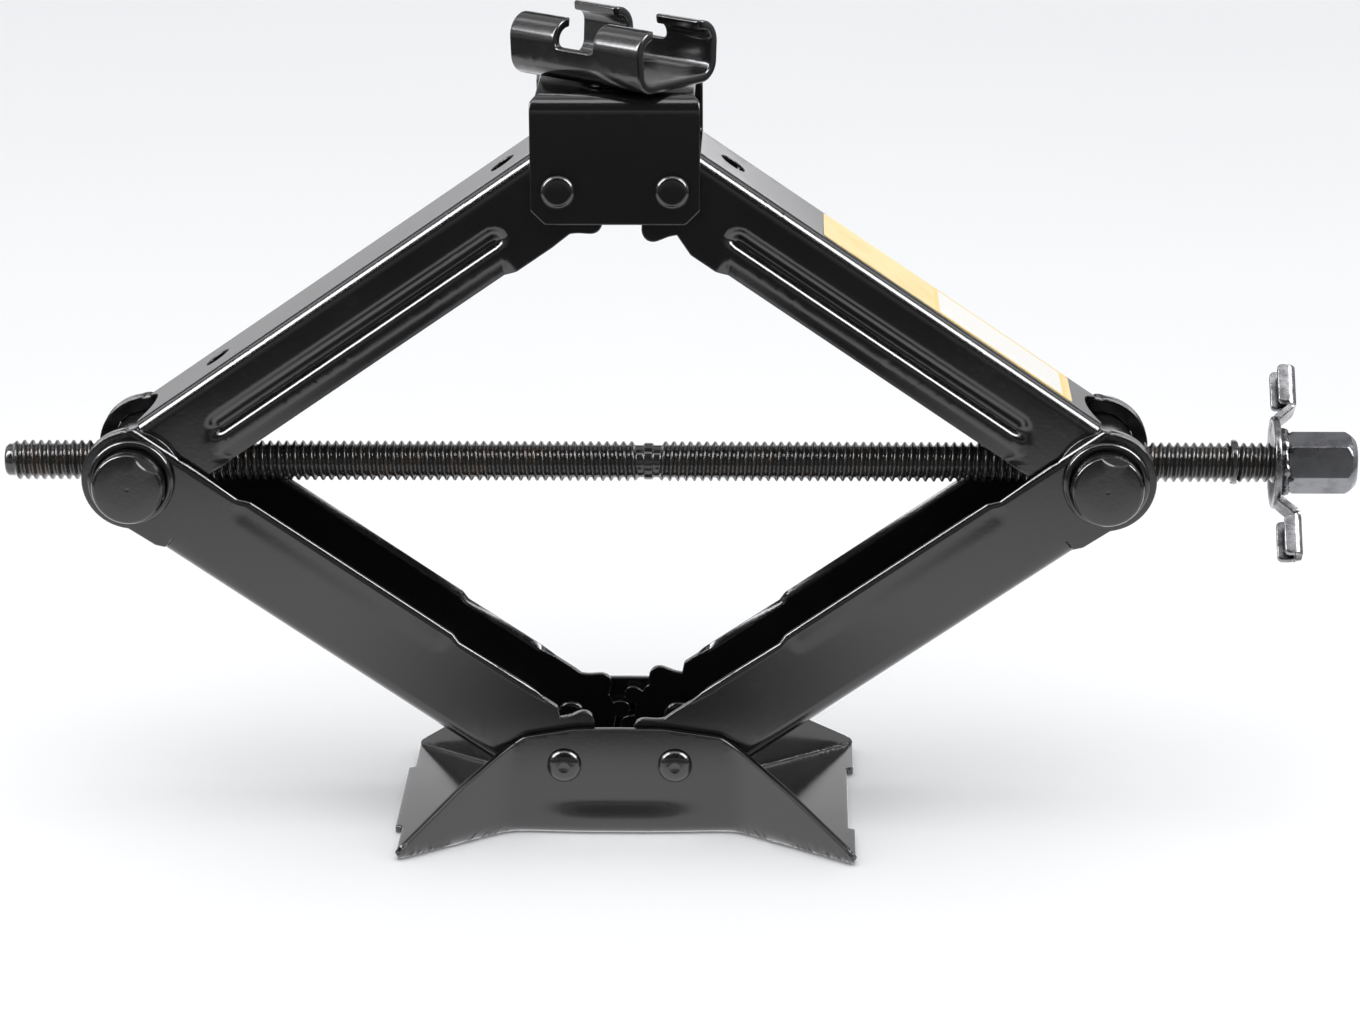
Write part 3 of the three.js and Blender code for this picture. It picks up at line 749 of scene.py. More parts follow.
class Workshop:
    """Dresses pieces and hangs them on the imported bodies."""

    def __init__(self) -> None:
        """Starts with no finishes made."""
        self.made: dict[str, bpy.types.Material] = {}

    def finish(self, recipe: Finish) -> bpy.types.Material:
        """The material of a recipe, made once."""
        if recipe.name not in self.made:
            self.made[recipe.name] = recipe.make()
        return self.made[recipe.name]

    def fit(self, piece: bpy.types.Object, body: str, slot: Slot, recipe: Finish, *nodes: str,
            ) -> bpy.types.Object:
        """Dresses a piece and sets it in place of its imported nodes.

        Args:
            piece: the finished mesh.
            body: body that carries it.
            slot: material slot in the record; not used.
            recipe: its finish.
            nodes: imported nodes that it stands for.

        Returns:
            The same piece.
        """
        piece.data.materials.clear()
        piece.data.materials.append(self.finish(recipe))
        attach(piece, body)
        if nodes:
            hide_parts(*nodes)
        LOG.info("%s rides on %s with %d faces", piece.name, body, len(piece.data.polygons))
        return piece


# ------------------------------------------------------------------ frame
@dataclass(frozen=True)
class Frame:
    """Where the pivots stand: the linkage's own lengths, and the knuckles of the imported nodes."""

    arm_length: float = 163 * MM
    rest_angle: float = math.radians(34.6)
    pivot_half: float = 17.5 * MM
    base_pivot: float = 23 * MM

    @property
    def knuckle_x(self) -> float:
        """Knuckle pivots' distance from the middle."""
        low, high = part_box("trunnion_right")
        return (low.x + high.x) / 2

    @property
    def knuckle_z(self) -> float:
        """Height of the screw."""
        low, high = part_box("trunnion_right")
        return (low.z + high.z) / 2

    @property
    def top_pivot(self) -> float:
        """Height of the top pivots."""
        return 2 * self.knuckle_z - self.base_pivot

    def arm(self, side: int, lower: bool) -> Matrix:
        """Matrix from an arm's own frame to its place.

        Args:
            side: -1 for left, 1 for right.
            lower: True for the lower arms, whose webs face down.

        Returns:
            The matrix. The arm's X runs from knuckle to gear pivot and its Z to the web.
        """
        place = Matrix.Translation((side * self.knuckle_x, 0, self.knuckle_z))
        turn = Matrix.Rotation(math.pi if side > 0 else 0.0, 4, "Z")
        tilt = Matrix.Rotation(self.rest_angle if lower else -self.rest_angle, 4, "Y")
        flip = Matrix.Rotation(math.pi if lower else 0.0, 4, "X")
        return place @ turn @ tilt @ flip


SIDES = {"left": -1, "right": 1}
FACES = {"front": -1, "back": 1}


# ------------------------------------------------------------------ arms
@dataclass
class GearTeeth:
    """Involute teeth on the end of an arm's wall.

    Attributes:
        first: angle of the uppermost tooth, from the partner pivot's direction.
        count: number of teeth.
    """

    first: float
    count: int
    frame: Frame
    module: float = 3.5 * MM
    total: int = 10
    pressure: float = math.radians(25)
    backlash: float = 0.4 * MM
    root: float = 14.5 * MM

    def place(self, radius: float, angle: float) -> Point:
        """Arm coordinates of a point given round the gear pivot."""
        turn = math.pi - self.frame.rest_angle - angle
        return self.frame.arm_length - radius * math.cos(turn), -radius * math.sin(turn)

    def half_angle(self, radius: float) -> float:
        """Half the angle that a tooth fills at a radius."""
        pitch = self.total * self.module / 2
        base = pitch * math.cos(self.pressure)
        here = math.acos(base / max(radius, base))
        involute = math.tan(self.pressure) - self.pressure - math.tan(here) + here
        return math.pi / (2 * self.total) - self.backlash / (4 * pitch) + involute

    def outline(self) -> list[Point]:
        """Outline from the web side, round the teeth, to the open edge."""
        step = TAU / self.total
        angles = [self.first - step * i for i in reversed(range(self.count))]
        start = angles[0] - 0.42 * step
        points = [self.place(self.root, start - 0.35 + 0.07 * i) for i in range(6)]
        for index, angle in enumerate(angles[:-1]):
            flank = (radius * MM for radius in (14.5, 15.3, 16.4, 17.6, 18.6))
            tooth = [(radius, -self.half_angle(radius)) for radius in flank]
            tooth += [(19.3 * MM, -0.6 * self.half_angle(19.3 * MM)), (19.5 * MM, 0.0)]
            whole = tooth + [(radius, -turn) for radius, turn in reversed(tooth[:-1])]
            points += [self.place(radius, angle + turn) for radius, turn in whole]
            points.append(self.place(self.root, angle + step / 2))
        return points + self.lobe(angles[-1])

    def lobe(self, angle: float) -> list[Point]:
        """The last tooth, which runs out into the open edge in one soft wave."""
        wave = [(14.4, -13), (15.2, -10.6), (16.2, -8.2), (17.1, -5.2), (17.8, -1.6), (18.15, 2.4),
                (18.1, 6.2), (17.7, 9.8), (17.1, 13), (16.4, 16.4), (15.75, 20), (15.2, 24.2),
                (14.9, 28.5), (14.75, 33)]
        return [self.place(radius * MM, angle + math.radians(turn)) for radius, turn in wave]


@dataclass
class Arm:
    """A channel arm: web, two walls with eyes and teeth, and pressed strips along the walls.

    Attributes:
        half: pivot plane to a wall's outer face.
        eye_top: height of the wall's edge above the eye.
        web_start: where the web begins.
        eye_drop: depth of the eye below the pivot where the open edge leaves it.
    """

    frame: Frame
    shop: Workshop
    half: float
    eye_top: float
    web_start: float
    eye_drop: float
    lower: bool
    sheet: float = 2.3 * MM
    web_out: float = 13.4 * MM
    bend: float = 4.5 * MM
    eye: float = 15.8 * MM
    eye_hole: float = 11.5 * MM
    edge: float = 0.42 * MM
    slit: float = 0.1 * MM
    hollow: float = 5 * MM
    gear_hole: float = 3.8 * MM
    web_hole: float = 4.2 * MM

    # A lower wall's pressed strip and the curl of its open edge. Together they stay inside PRESS_LIMIT,
    # so that the folded arms clear each other.
    STRIP_MIDDLE, STRIP_HALF, STRIP_TOP, STRIP_CORNER = 71 * MM, 40.2 * MM, -7.2 * MM, 4.2 * MM
    STRIP_DEPTH, CURL_DEPTH, PRESS_LIMIT = 0.16 * MM, 1.1 * MM, 1.05 * MM
    # An upper wall's groove, and the step below it.
    GROOVE_START, GROOVE_END, GROOVE_Z = 32.5 * MM, 136.5 * MM, -3.0 * MM
    GROOVE_DEPTH, STEP_DEPTH = 2.3 * MM, 1.3 * MM
    WEB_HOLES = (40 * MM, 150 * MM)

    def __post_init__(self) -> None:
        """Works out the middle of the sheet."""
        self.wall_y = self.half - self.sheet / 2
        self.bend_r = self.bend - self.sheet / 2
        self.flat = self.wall_y - self.bend_r
        self.bend_end = self.flat + self.bend_r * math.pi / 2
        self.web_z = self.web_out - self.sheet / 2
        self.bend_z = self.web_z - self.bend_r
        self.web_end = self.frame.arm_length - 1 * MM

    def across(self, height: float) -> float:
        """Blank coordinate of a wall point at a height."""
        return self.bend_end + self.bend_z - height

    def press(self, s: float, z: float) -> float:
        """How far a wall is pressed inwards at a point."""
        if self.lower:
            rim = 13.2 * MM + 1.2 * MM * smooth(s, 30 * MM, 35 * MM)
            rim -= 0.9 * MM * smooth(s, 110 * MM, 114 * MM)
            near_rim = min(max((-z - rim + 1.15 * MM) / (1.4 * MM), 0.0), 1.0)
            curl = self.CURL_DEPTH * near_rim ** 2 * (1 - smooth(s, 138 * MM, 148 * MM))
            band = self.STRIP_DEPTH * (1 - smooth(self.outside(s, z), -self.STRIP_CORNER, 1.4 * MM))
            return min(band + curl, self.PRESS_LIMIT)
        beyond = max(self.GROOVE_START - s, s - self.GROOVE_END, 0.0)
        rise = z - self.GROOVE_Z
        reach = math.hypot(beyond, rise if rise > 0 else rise * 1.9)
        groove = 1 - smooth(reach, 0.9 * MM, 5.6 * MM)
        strip = smooth(s, 24 * MM, 30 * MM) * (1 - smooth(s, 133 * MM, 138 * MM))
        return self.GROOVE_DEPTH * groove + self.STEP_DEPTH * strip * smooth(-z, 7.5 * MM, 13 * MM)

    def outside(self, s: float, z: float) -> float:
        """Distance of a lower wall's point outside its pressed strip, negative inside."""
        radius = self.STRIP_CORNER
        dx = abs(s - self.STRIP_MIDDLE) - self.STRIP_HALF + radius
        dz = z - self.STRIP_TOP + radius
        corner = math.hypot(max(dx, 0.0), max(dz, 0.0))
        return corner + min(max(dx, dz), 0.0) - radius

    def fold(self, s: float, w: float) -> Vector:
        """Middle of the sheet at a point of the blank."""
        away = abs(w)
        sign = 1.0 if w >= 0 else -1.0
        straight = s < self.web_start - self.slit / 2 or s > self.web_end + self.slit / 2
        if away >= self.bend_end or (straight and away > self.flat - 2 * MM):
            z = self.bend_z - (away - self.bend_end)
            return Vector((s, sign * (self.wall_y - self.press(s, z)), z))
        if away <= self.flat:
            return Vector((s, w, self.web_z))
        turn = (away - self.flat) / self.bend_r
        y = self.flat + self.bend_r * math.sin(turn)
        return Vector((s, sign * y, self.web_z - self.bend_r * (1 - math.cos(turn))))

    def open_edge(self, teeth: GearTeeth) -> list[Point]:
        """The wall's open edge, from the teeth back to the knuckle, as (s, z, rounding)."""
        last = teeth.outline()[-1]
        if self.lower:
            return [
                (min(last[0], self.frame.arm_length) - 2.6 * MM, -13.9 * MM, 1.2 * MM),
                (113.4 * MM, -13.3 * MM, 1.5 * MM),
                (110.4 * MM, -14.4 * MM, 1.5 * MM),
                (34.4 * MM, -14.4 * MM, 1.5 * MM),
                (30.6 * MM, -13.0 * MM, 1.5 * MM),
                (12 * MM, -13.4 * MM, 2 * MM),
            ]
        return [
            (min(last[0], self.frame.arm_length) - 7 * MM, -14.2 * MM, 2 * MM),
            (137.5 * MM, -14.2 * MM, 1.5 * MM),
            (133.5 * MM, -13.1 * MM, 1.5 * MM),
            (26 * MM, -13.1 * MM, 2 * MM),
        ]

    def wall(self, teeth: GearTeeth) -> list[Point]:
        """One wall's part of the blank's outline, from the web's gear end to its knuckle end."""
        top_edge = [(self.web_end + self.slit, 13.4 * MM), (self.web_end + self.slit + 0.6 * MM, 13.3 * MM)]
        gear = teeth.outline()
        leave = -math.asin(self.eye_drop / self.eye)
        meet = -TAU + math.asin(self.eye_top / self.eye)
        round_eye = arc((0, 0), self.eye, leave, meet, 40)
        low = rounded([(gear[-1][0], gear[-1][1]), *self.open_edge(teeth), round_eye[0]])
        points = [*top_edge, *gear, *low[1:-1], *round_eye]
        points.append((self.web_start - self.slit - 3 * MM, self.eye_top - 0.3 * MM))
        points.append((self.web_start - self.slit, self.eye_top - 1.5 * MM))
        return [(s, self.across(z)) for s, z in points]

    def blank(self) -> list[list[Point]]:
        """The blank's outline and holes."""
        slit_floor = self.bend_end - 0.1 * MM
        half: dict[int, list[Point]] = {}
        for sign, teeth in ((1, GearTeeth(math.radians(61.7), 4, self.frame)),
                            (-1, GearTeeth(math.radians(43.7), 3, self.frame))):
            hollow = [
                (self.web_start + self.hollow * (1 - (i / 10) ** 2.4), self.flat * 0.98 * i / 10)
                for i in range(1, 11)
            ]
            points = [
                (self.web_end, slit_floor),
                (self.web_end + self.slit, slit_floor),
                *self.wall(teeth),
                (self.web_start - self.slit, slit_floor),
                (self.web_start, slit_floor),
                (self.web_start, self.bend_end - 1.5 * MM),
                *reversed(hollow),
            ]
            half[sign] = [(s, sign * w) for s, w in points]
        outline = half[1] + [(self.web_start + self.hollow, 0.0)] + list(reversed(half[-1]))
        loops = [resampled(outline, 2.5 * MM)]
        for sign in (1, -1):
            loops.append(arc((0, sign * self.across(0)), self.eye_hole, 0, TAU, 48)[:-1])
            loops.append(arc((self.frame.arm_length, sign * self.across(0)), self.gear_hole, 0, TAU, 24)[:-1])
        if not self.lower:
            loops += [arc((s, 0), self.web_hole, 0, TAU, 32)[:-1] for s in self.WEB_HOLES]
        return loops

    def cuts(self) -> tuple[list[float], list[float]]:
        """Where the blank is divided along and across."""
        along = spread(-16 * MM, 183 * MM, 6 * MM)
        heights: list[float]
        if self.lower:
            along += spread(29.8 * MM, 36.2 * MM, 0.4 * MM) + spread(105.8 * MM, 112.2 * MM, 0.4 * MM)
            heights = [-5.8 * MM - 0.4 * MM * i for i in range(15)]
            heights += [-(11.9 + 0.3 * i) * MM for i in range(9)]
        else:
            along += spread(26.5 * MM, 33.5 * MM, 0.7 * MM) + spread(135.5 * MM, 142.5 * MM, 0.7 * MM)
            heights = [v * MM for v in (4.2, 3.5, 2.8, 2.2, 1.6, 1.0, 0.4, -0.2, -0.8, -1.4, -2.0, -2.6,
                                        -3.1, -3.4, -3.8, -4.2, -4.6, -5.0, -5.35, -5.7, -6.0,
                                        -8, -9, -10, -11, -12, -12.8)]
        turns = [self.flat + self.bend_r * math.pi / 2 * i / 8 for i in range(9)]
        places = turns + [self.across(z) for z in heights]
        return along, [sign * value for sign in (1, -1) for value in places]

    def build(self, name: str, side: int, body: str) -> bpy.types.Object:
        """Builds one arm in its place.

        Args:
            name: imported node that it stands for.
            side: -1 left, 1 right.
            body: body that carries it.

        Returns:
            The arm.
        """
        sheet = FoldedSheet(self.sheet, self.edge, self.fold)
        piece = sheet.build(name.replace("_arm", "_channel_arm"), self.blank(), self.cuts())
        moved(piece, self.frame.arm(side, self.lower))
        return self.shop.fit(piece, body, Slot.PAINT, BlackPaint(), name)


@dataclass
class BlankLabel:
    """Film stuck on the right upper arm's web, with no lettering."""

    frame: Frame
    shop: Workshop
    start: float = 22 * MM
    end: float = 116 * MM
    half: float = 14.6 * MM
    base: float = 13.44 * MM
    thick: float = 0.16 * MM

    def build(self) -> bpy.types.Object:
        """Builds the label in its place."""
        radius = 1.5 * MM
        outline = rounded([
            (self.start, -self.half, radius), (self.end, -self.half, radius),
            (self.end, self.half, radius), (self.start, self.half, radius),
        ])
        low = self.base + self.thick / 2
        sheet = FoldedSheet(self.thick, 0.06 * MM, lambda s, w: Vector((s, w, low)))
        cuts = (spread(20 * MM, 118 * MM, 6 * MM), [])
        piece = sheet.build("blank_film", [resampled(outline, 3 * MM)], cuts)
        piece.matrix_world = self.frame.arm(1, False)
        recipe = LabelFilm(24 * MM, 74 * MM, self.half)
        return self.shop.fit(piece, "upper_arm_right", Slot.LABEL, recipe, "blank_label")


# ------------------------------------------------------------------ base
@dataclass
class BasePlate:
    """Pressed base: flat floor, two crowned walls splaying to the corners."""

    frame: Frame
    shop: Workshop
    sheet: float = 2.5 * MM
    left_x: float = -69.4 * MM
    right_x: float = 74.6 * MM
    wall_y: float = 26.35 * MM
    knee: float = 35.4 * MM
    slope: float = 0.766
    soft: float = 1.7 * MM
    shift: float = 0.9 * MM
    foot_r: float = 1.9 * MM
    flare: float = 1.3 * MM
    edge: float = 0.5 * MM
    tab_y: float = 27 * MM
    tab_step: float = 2.1 * MM

    def middle_y(self, x: float) -> float:
        """Distance of the wall's middle from the centre line."""
        past = (abs(x - self.shift) - self.knee) / self.soft
        gain = self.soft * (past if past > 30 else math.log1p(math.exp(past)))
        steep = self.slope / (1 + math.exp(-past)) if past > -30 else 0.0
        return self.wall_y + self.slope * gain - self.sheet / 2 * math.hypot(1, steep)

    def across(self, x: float, height: float) -> float:
        """Blank coordinate of a wall point at a height."""
        foot = self.middle_y(x) - self.foot_r + self.foot_r * math.pi / 2
        return foot + height - self.sheet / 2 - self.foot_r

    def fold(self, x: float, v: float) -> Vector:
        """Middle of the sheet at a point of the blank."""
        sign = 1.0 if v >= 0 else -1.0
        reach = self.flare * (1 - smooth(abs(x), 8 * MM, 40 * MM))
        foot = self.middle_y(x) - self.foot_r
        past = abs(v) - foot
        ground = self.sheet / 2
        bend = self.foot_r * math.pi / 2
        if past <= 0:
            pull = smooth(abs(v), 0.5 * foot, foot)
            return Vector((x, v + sign * reach * pull, ground))
        if past < bend:
            turn = past / self.foot_r
            y = foot + self.foot_r * math.sin(turn)
            z = ground + self.foot_r * (1 - math.cos(turn))
        else:
            y = foot + self.foot_r
            z = ground + self.foot_r + past - bend
        lean = reach * (1 - smooth(z, 3.2 * MM, 12.5 * MM))
        return Vector((x, sign * (y + lean), z))

    def top(self, end: float) -> list[Point]:
        """The wall's top edge from the middle to a corner, as (x, height)."""
        side = 1 if end > 0 else -1
        tip = abs(end)
        corners = [(0, 35.0), (14, 34.9, 40), (31.4 + side * 0.9, 32.2, 7), (51 + side * 1.5, 19.4, 60)]
        scaled = [tuple(value * MM for value in corner) for corner in corners]
        scaled += [(tip - 2.9 * MM, 5.4 * MM, 5 * MM), (tip - 0.6 * MM, 3.1 * MM, 1 * MM)]
        opened = rounded([(0.0, -60 * MM), *scaled, (tip - 0.5 * MM, -60 * MM)])
        return [(side * x, height) for x, height in opened[1:-1]]

    def quarter(self, end: float) -> list[Point]:
        """A quarter of the outline, from the end's middle over the tab and corner to the wall's middle."""
        inner = end - self.tab_step
        points = rounded([
            (inner, 0.0), (inner, self.tab_y, 0.9 * MM), (end, self.tab_y + 0.6 * MM, 1.2 * MM),
            (end, self.middle_y(end)),
        ])[:-1]
        points.append((end, self.middle_y(end) - self.foot_r - 0.5 * MM))
        rise = [(x, self.across(x, height)) for x, height in resampled_open(self.top(end), 2.5 * MM)]
        return points + list(reversed(rise))

    def blank(self) -> list[list[Point]]:
        """The blank's outline and holes. The tab on the left end is the offcut of the right end's recess."""
        right = self.quarter(self.right_x)
        left = self.quarter(self.left_x)
        outline: list[Point] = list(right[:-1])
        outline += list(reversed(left))[:-1]
        outline += [(x, -y) for x, y in left[:-1]]
        outline += [(x, -y) for x, y in reversed(right)][:-1]
        loops = [resampled(outline, 3 * MM)]
        for x in (-self.frame.pivot_half, self.frame.pivot_half):
            for sign in (1, -1):
                centre = (x, sign * self.across(x, self.frame.base_pivot))
                loops.append(arc(centre, RIVET_HOLE, 0, TAU, 24)[:-1])
        return loops

    def cuts(self) -> tuple[list[float], list[float]]:
        """Where the blank is divided along and across."""
        along = spread(-73 * MM, 76 * MM, 1.8 * MM)
        across = spread(9 * MM, 88 * MM, 1.15 * MM)
        return along, [sign * value for sign in (1, -1) for value in across]

    def build(self) -> bpy.types.Object:
        """Builds the base in its place."""
        sheet = FoldedSheet(self.sheet, self.edge, self.fold)
        piece = sheet.build("pressed_base", self.blank(), self.cuts())
        return self.shop.fit(piece, "base", Slot.PAINT, BlackPaint(), "base_plate")


def resampled_open(points: Sequence[Point], step: float) -> list[Point]:
    """Splits the long edges of an open run of points so that none is longer than step."""
    closed = resampled(points, step)
    last = points[-1]
    end = max(i for i, p in enumerate(closed) if p == last)
    return closed[:end + 1]


# ------------------------------------------------------------------ bracket
@dataclass
class TopBracket:
    """Folded bracket over the top pivots."""

    frame: Frame
    shop: Workshop
    half: float = 23.3 * MM
    sheet: float = 3.2 * MM
    up: float = 29.4 * MM
    down: float = 10.6 * MM
    half_x: float = 26 * MM
    bend: float = 5.5 * MM
    edge: float = 0.5 * MM

    def __post_init__(self) -> None:
        """Works out the middle of the sheet."""
        self.bend_r = self.bend - self.sheet / 2
        self.flat = self.half - self.sheet / 2 - self.bend_r
        self.bend_end = self.flat + self.bend_r * math.pi / 2
        self.web_z = self.up - self.sheet / 2

    def across(self, height: float) -> float:
        """Blank coordinate of a wall point at a height above the pivots."""
        return self.bend_end + self.web_z - self.bend_r - height

    def fold(self, x: float, v: float) -> Vector:
        """Middle of the sheet at a point of the blank."""
        away = abs(v)
        sign = 1.0 if v >= 0 else -1.0
        if away <= self.flat:
            return Vector((x, v, self.web_z))
        turn = min((away - self.flat) / self.bend_r, math.pi / 2)
        y = self.flat + self.bend_r * math.sin(turn)
        z = self.web_z - self.bend_r * (1 - math.cos(turn)) - max(0.0, away - self.bend_end)
        return Vector((x, sign * y, z))

    def build(self) -> bpy.types.Object:
        """Builds the bracket in its place."""
        low = self.across(-self.down)
        x = self.half_x
        cut, narrow = 4.4 * MM, x - 1.7 * MM
        quarter = rounded([
            (narrow, 0.0), (narrow, self.flat + 1.2 * MM, 1.6 * MM), (x, self.flat + 3.4 * MM, 1.6 * MM),
            (x, low - cut, 1.2 * MM), (x - cut, low, 1.2 * MM), (0.0, low),
        ])
        loops = [resampled(four_fold(quarter), 3 * MM), arc((0, 0), 5.1 * MM, 0, TAU, 32)[:-1]]
        for side in (-1, 1):
            for sign in (-1, 1):
                centre = (side * self.frame.pivot_half, sign * self.across(0))
                loops.append(arc(centre, RIVET_HOLE, 0, TAU, 24)[:-1])
        turns = [self.flat + self.bend_r * math.pi / 2 * i / 10 for i in range(11)]
        cuts = (spread(-x, x, 6 * MM), [sign * value for sign in (1, -1) for value in turns])
        piece = FoldedSheet(self.sheet, self.edge, self.fold).build("folded_bracket", loops, cuts)
        moved(piece, Matrix.Translation((0, 0, self.frame.top_pivot)))
        return self.shop.fit(piece, "top_bracket", Slot.PAINT, BlackPaint(), "top_bracket")


# ------------------------------------------------------------------ saddle
@dataclass
class Saddle:
    """Rolled channel saddle, its walls leaning out and its lips curled in, with a notch at the middle."""

    shop: Workshop
    turn: float = math.radians(-40)
    half_length: float = 26.6 * MM
    floor_half: float = 11.4 * MM
    sheet: float = 2.9 * MM
    floor_r: float = 5.2 * MM
    floor_turn: float = math.radians(87)
    wall: float = 5.8 * MM
    lip_r: float = 5.4 * MM
    lip_turn: float = math.radians(106)
    edge: float = 0.6 * MM
    notch_half: float = 7.9 * MM
    notch_floor: float = 11.0 * MM
    pivot_r: float = 5 * MM
    drop: float = 0.8 * MM
    offset: float = -1.4 * MM

    def __post_init__(self) -> None:
        """Works out where each bend of the blank starts."""
        self.flat = self.floor_half
        self.bent = self.flat + self.floor_r * self.floor_turn
        self.rise = self.bent + self.wall
        self.total = self.rise + self.lip_r * self.lip_turn

    def fold(self, x: float, v: float) -> Vector:
        """Middle of the sheet at a point of the blank."""
        away = abs(v)
        sign = 1.0 if v >= 0 else -1.0
        turn = min(max(away - self.flat, 0.0) / self.floor_r, self.floor_turn)
        y = min(away, self.flat) + self.floor_r * math.sin(turn)
        z = self.sheet / 2 + self.floor_r * (1 - math.cos(turn))
        straight = min(max(away - self.bent, 0.0), self.wall)
        y += straight * math.cos(self.floor_turn)
        z += straight * math.sin(self.floor_turn)
        curl = max(away - self.rise, 0.0) / self.lip_r
        y += self.lip_r * (math.sin(self.floor_turn + curl) - math.sin(self.floor_turn))
        z += self.lip_r * (math.cos(self.floor_turn) - math.cos(self.floor_turn + curl))
        return Vector((x, sign * y, z))

    def quarter(self) -> list[Point]:
        """A quarter of the outline, from the end's middle to the notch's middle."""
        floor = self.bent + self.notch_floor - self.fold(0, self.bent).z
        return rounded([
            (self.half_length, 0.0),
            (self.half_length, self.total, 2.2 * MM),
            (self.notch_half, self.total, 1.6 * MM),
            (self.notch_half, floor, 1.7 * MM),
            (0.0, floor),
        ])

    def build(self) -> bpy.types.Object:
        """Builds the saddle channel in its place."""
        hole = arc((-self.offset, 0), self.pivot_r + 0.1 * MM, 0, TAU, 32)[:-1]
        loops = [resampled(four_fold(self.quarter()), 2 * MM), hole]
        turns = [self.flat + (self.bent - self.flat) * i / 8 for i in range(9)]
        turns += [self.rise + (self.total - self.rise) * i / 14 for i in range(14)]
        cuts = (spread(-self.half_length, self.half_length, 5 * MM),
                [sign * value for sign in (1, -1) for value in turns])
        piece = FoldedSheet(self.sheet, self.edge, self.fold).build("rolled_saddle", loops, cuts)
        low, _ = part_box("saddle")
        place = Matrix.Translation((0, 0, low.z - self.drop)) @ Matrix.Rotation(self.turn, 4, "Z")
        moved(piece, place @ Matrix.Translation((self.offset, 0, 0)))
        return self.shop.fit(piece, "saddle", Slot.PAINT, BlackPaint(), "saddle")

    def build_washer(self) -> bpy.types.Object:
        """Builds the domed washer under the saddle."""
        low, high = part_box("saddle_washer")
        bore, rim, thick = self.pivot_r + 0.1 * MM, high.x, high.z - low.z - self.drop
        profile = [(bore, 0), (rim - 0.3 * MM, 0), (rim - 0.05 * MM, 0.3 * MM), (rim, 0.55 * MM),
                   (rim - 0.1 * MM, thick - 0.3 * MM), (rim - 0.5 * MM, thick - 0.06 * MM),
                   (rim - 1 * MM, thick), (bore, thick)]
        piece = turned("spacer_washer", profile, ring=True)
        moved(piece, Matrix.Translation((0, 0, low.z)))
        return self.shop.fit(piece, "top_bracket", Slot.PAINT, BlackPaint(), "saddle_washer")

    def build_rivet(self) -> bpy.types.Object:
        """Builds the rivet on which the saddle turns."""
        low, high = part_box("swivel_rivet")
        seat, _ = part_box("saddle")
        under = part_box("top_bracket")[1].z - 3.4 * MM
        over = seat.z - self.drop + self.sheet + 0.2 * MM
        head, pin = high.x, self.pivot_r
        profile = [
            (0, low.z), (head - 3.4 * MM, low.z), (head - 2.2 * MM, low.z + 0.3 * MM),
            (head - 1.5 * MM, low.z + 0.9 * MM), (head - 1.2 * MM, under), (pin, under), (pin, over),
            (head - 0.3 * MM, over), (head, over + 0.25 * MM), (head - 0.15 * MM, over + 0.7 * MM),
            (head - 0.7 * MM, over + 1.35 * MM), (head - 1.6 * MM, over + 1.9 * MM),
            (head - 2.6 * MM, high.z), (3.2 * MM, high.z), (2.6 * MM, high.z - 0.25 * MM),
            (0, high.z - 0.3 * MM),
        ]
        piece = turned("saddle_pivot_rivet", profile)
        return self.shop.fit(piece, "saddle", Slot.PAINT, BlackPaint(), "swivel_rivet")


# ------------------------------------------------------------------ rivets, washers, trunnions
class HeadForm(Enum):
    """Shapes of a pivot rivet's head."""

    FLAT = "flat"
    DOMED = "domed"


@dataclass
class PivotRivet:
    """Rivet through a bracket or base wall and an arm's wall."""

    shop: Workshop
    form: HeadForm
    radius: float = 5.4 * MM
    shank: float = 3.6 * MM
    head: float = 2.4 * MM
    tail: float = 1.5 * MM

    def profile(self, grip: float) -> list[Point]:
        """Profile along +Z from the head's top (negative) to the tail."""
        r, h = self.radius, self.head
        if self.form is HeadForm.FLAT:
            top = [(0, 0), (3.4, 0), (4.1, 0.12), (4.7, 0.42), (5.1, 0.9), (5.35, 1.5)]
        else:
            top = [(0, 0.12), (1.3, 0.11), (1.5, 0.02), (1.9, 0), (2.3, 0.06), (3.1, 0.25), (3.9, 0.55),
                   (4.6, 1.0), (5.1, 1.5)]
        rim = [(r, -0.35 * MM), (r - 0.1 * MM, 0)]
        scaled = [(a * MM, b * MM - h) for a, b in top]
        tail = [(self.shank, 0), (self.shank, grip), (r - 0.5 * MM, grip), (r - 0.45 * MM, grip + 0.5 * MM),
                (r - 1.0 * MM, grip + 1.15 * MM), (r - 2.2 * MM, grip + self.tail), (0, grip + self.tail)]
        return [*scaled, *rim, *tail]

    def build(self, node: str, body: str) -> bpy.types.Object:
        """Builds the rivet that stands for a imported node.

        Args:
            node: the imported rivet.
            body: body that carries it.

        Returns:
            The rivet.
        """
        low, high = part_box(node)
        front = (low.y + high.y) < 0
        grip = (high.y - low.y) - self.head - self.tail
        piece = turned(node.replace("rivet", "pivot_rivet"), self.profile(grip), 48)
        face = low.y + self.head if front else high.y - self.head
        turn = ALONG_BACK if front else ALONG_FRONT
        centre = ((low.x + high.x) / 2, face, (low.z + high.z) / 2)
        moved(piece, Matrix.Translation(centre) @ turn)
        return self.shop.fit(piece, body, Slot.PAINT, BlackPaint(), node)


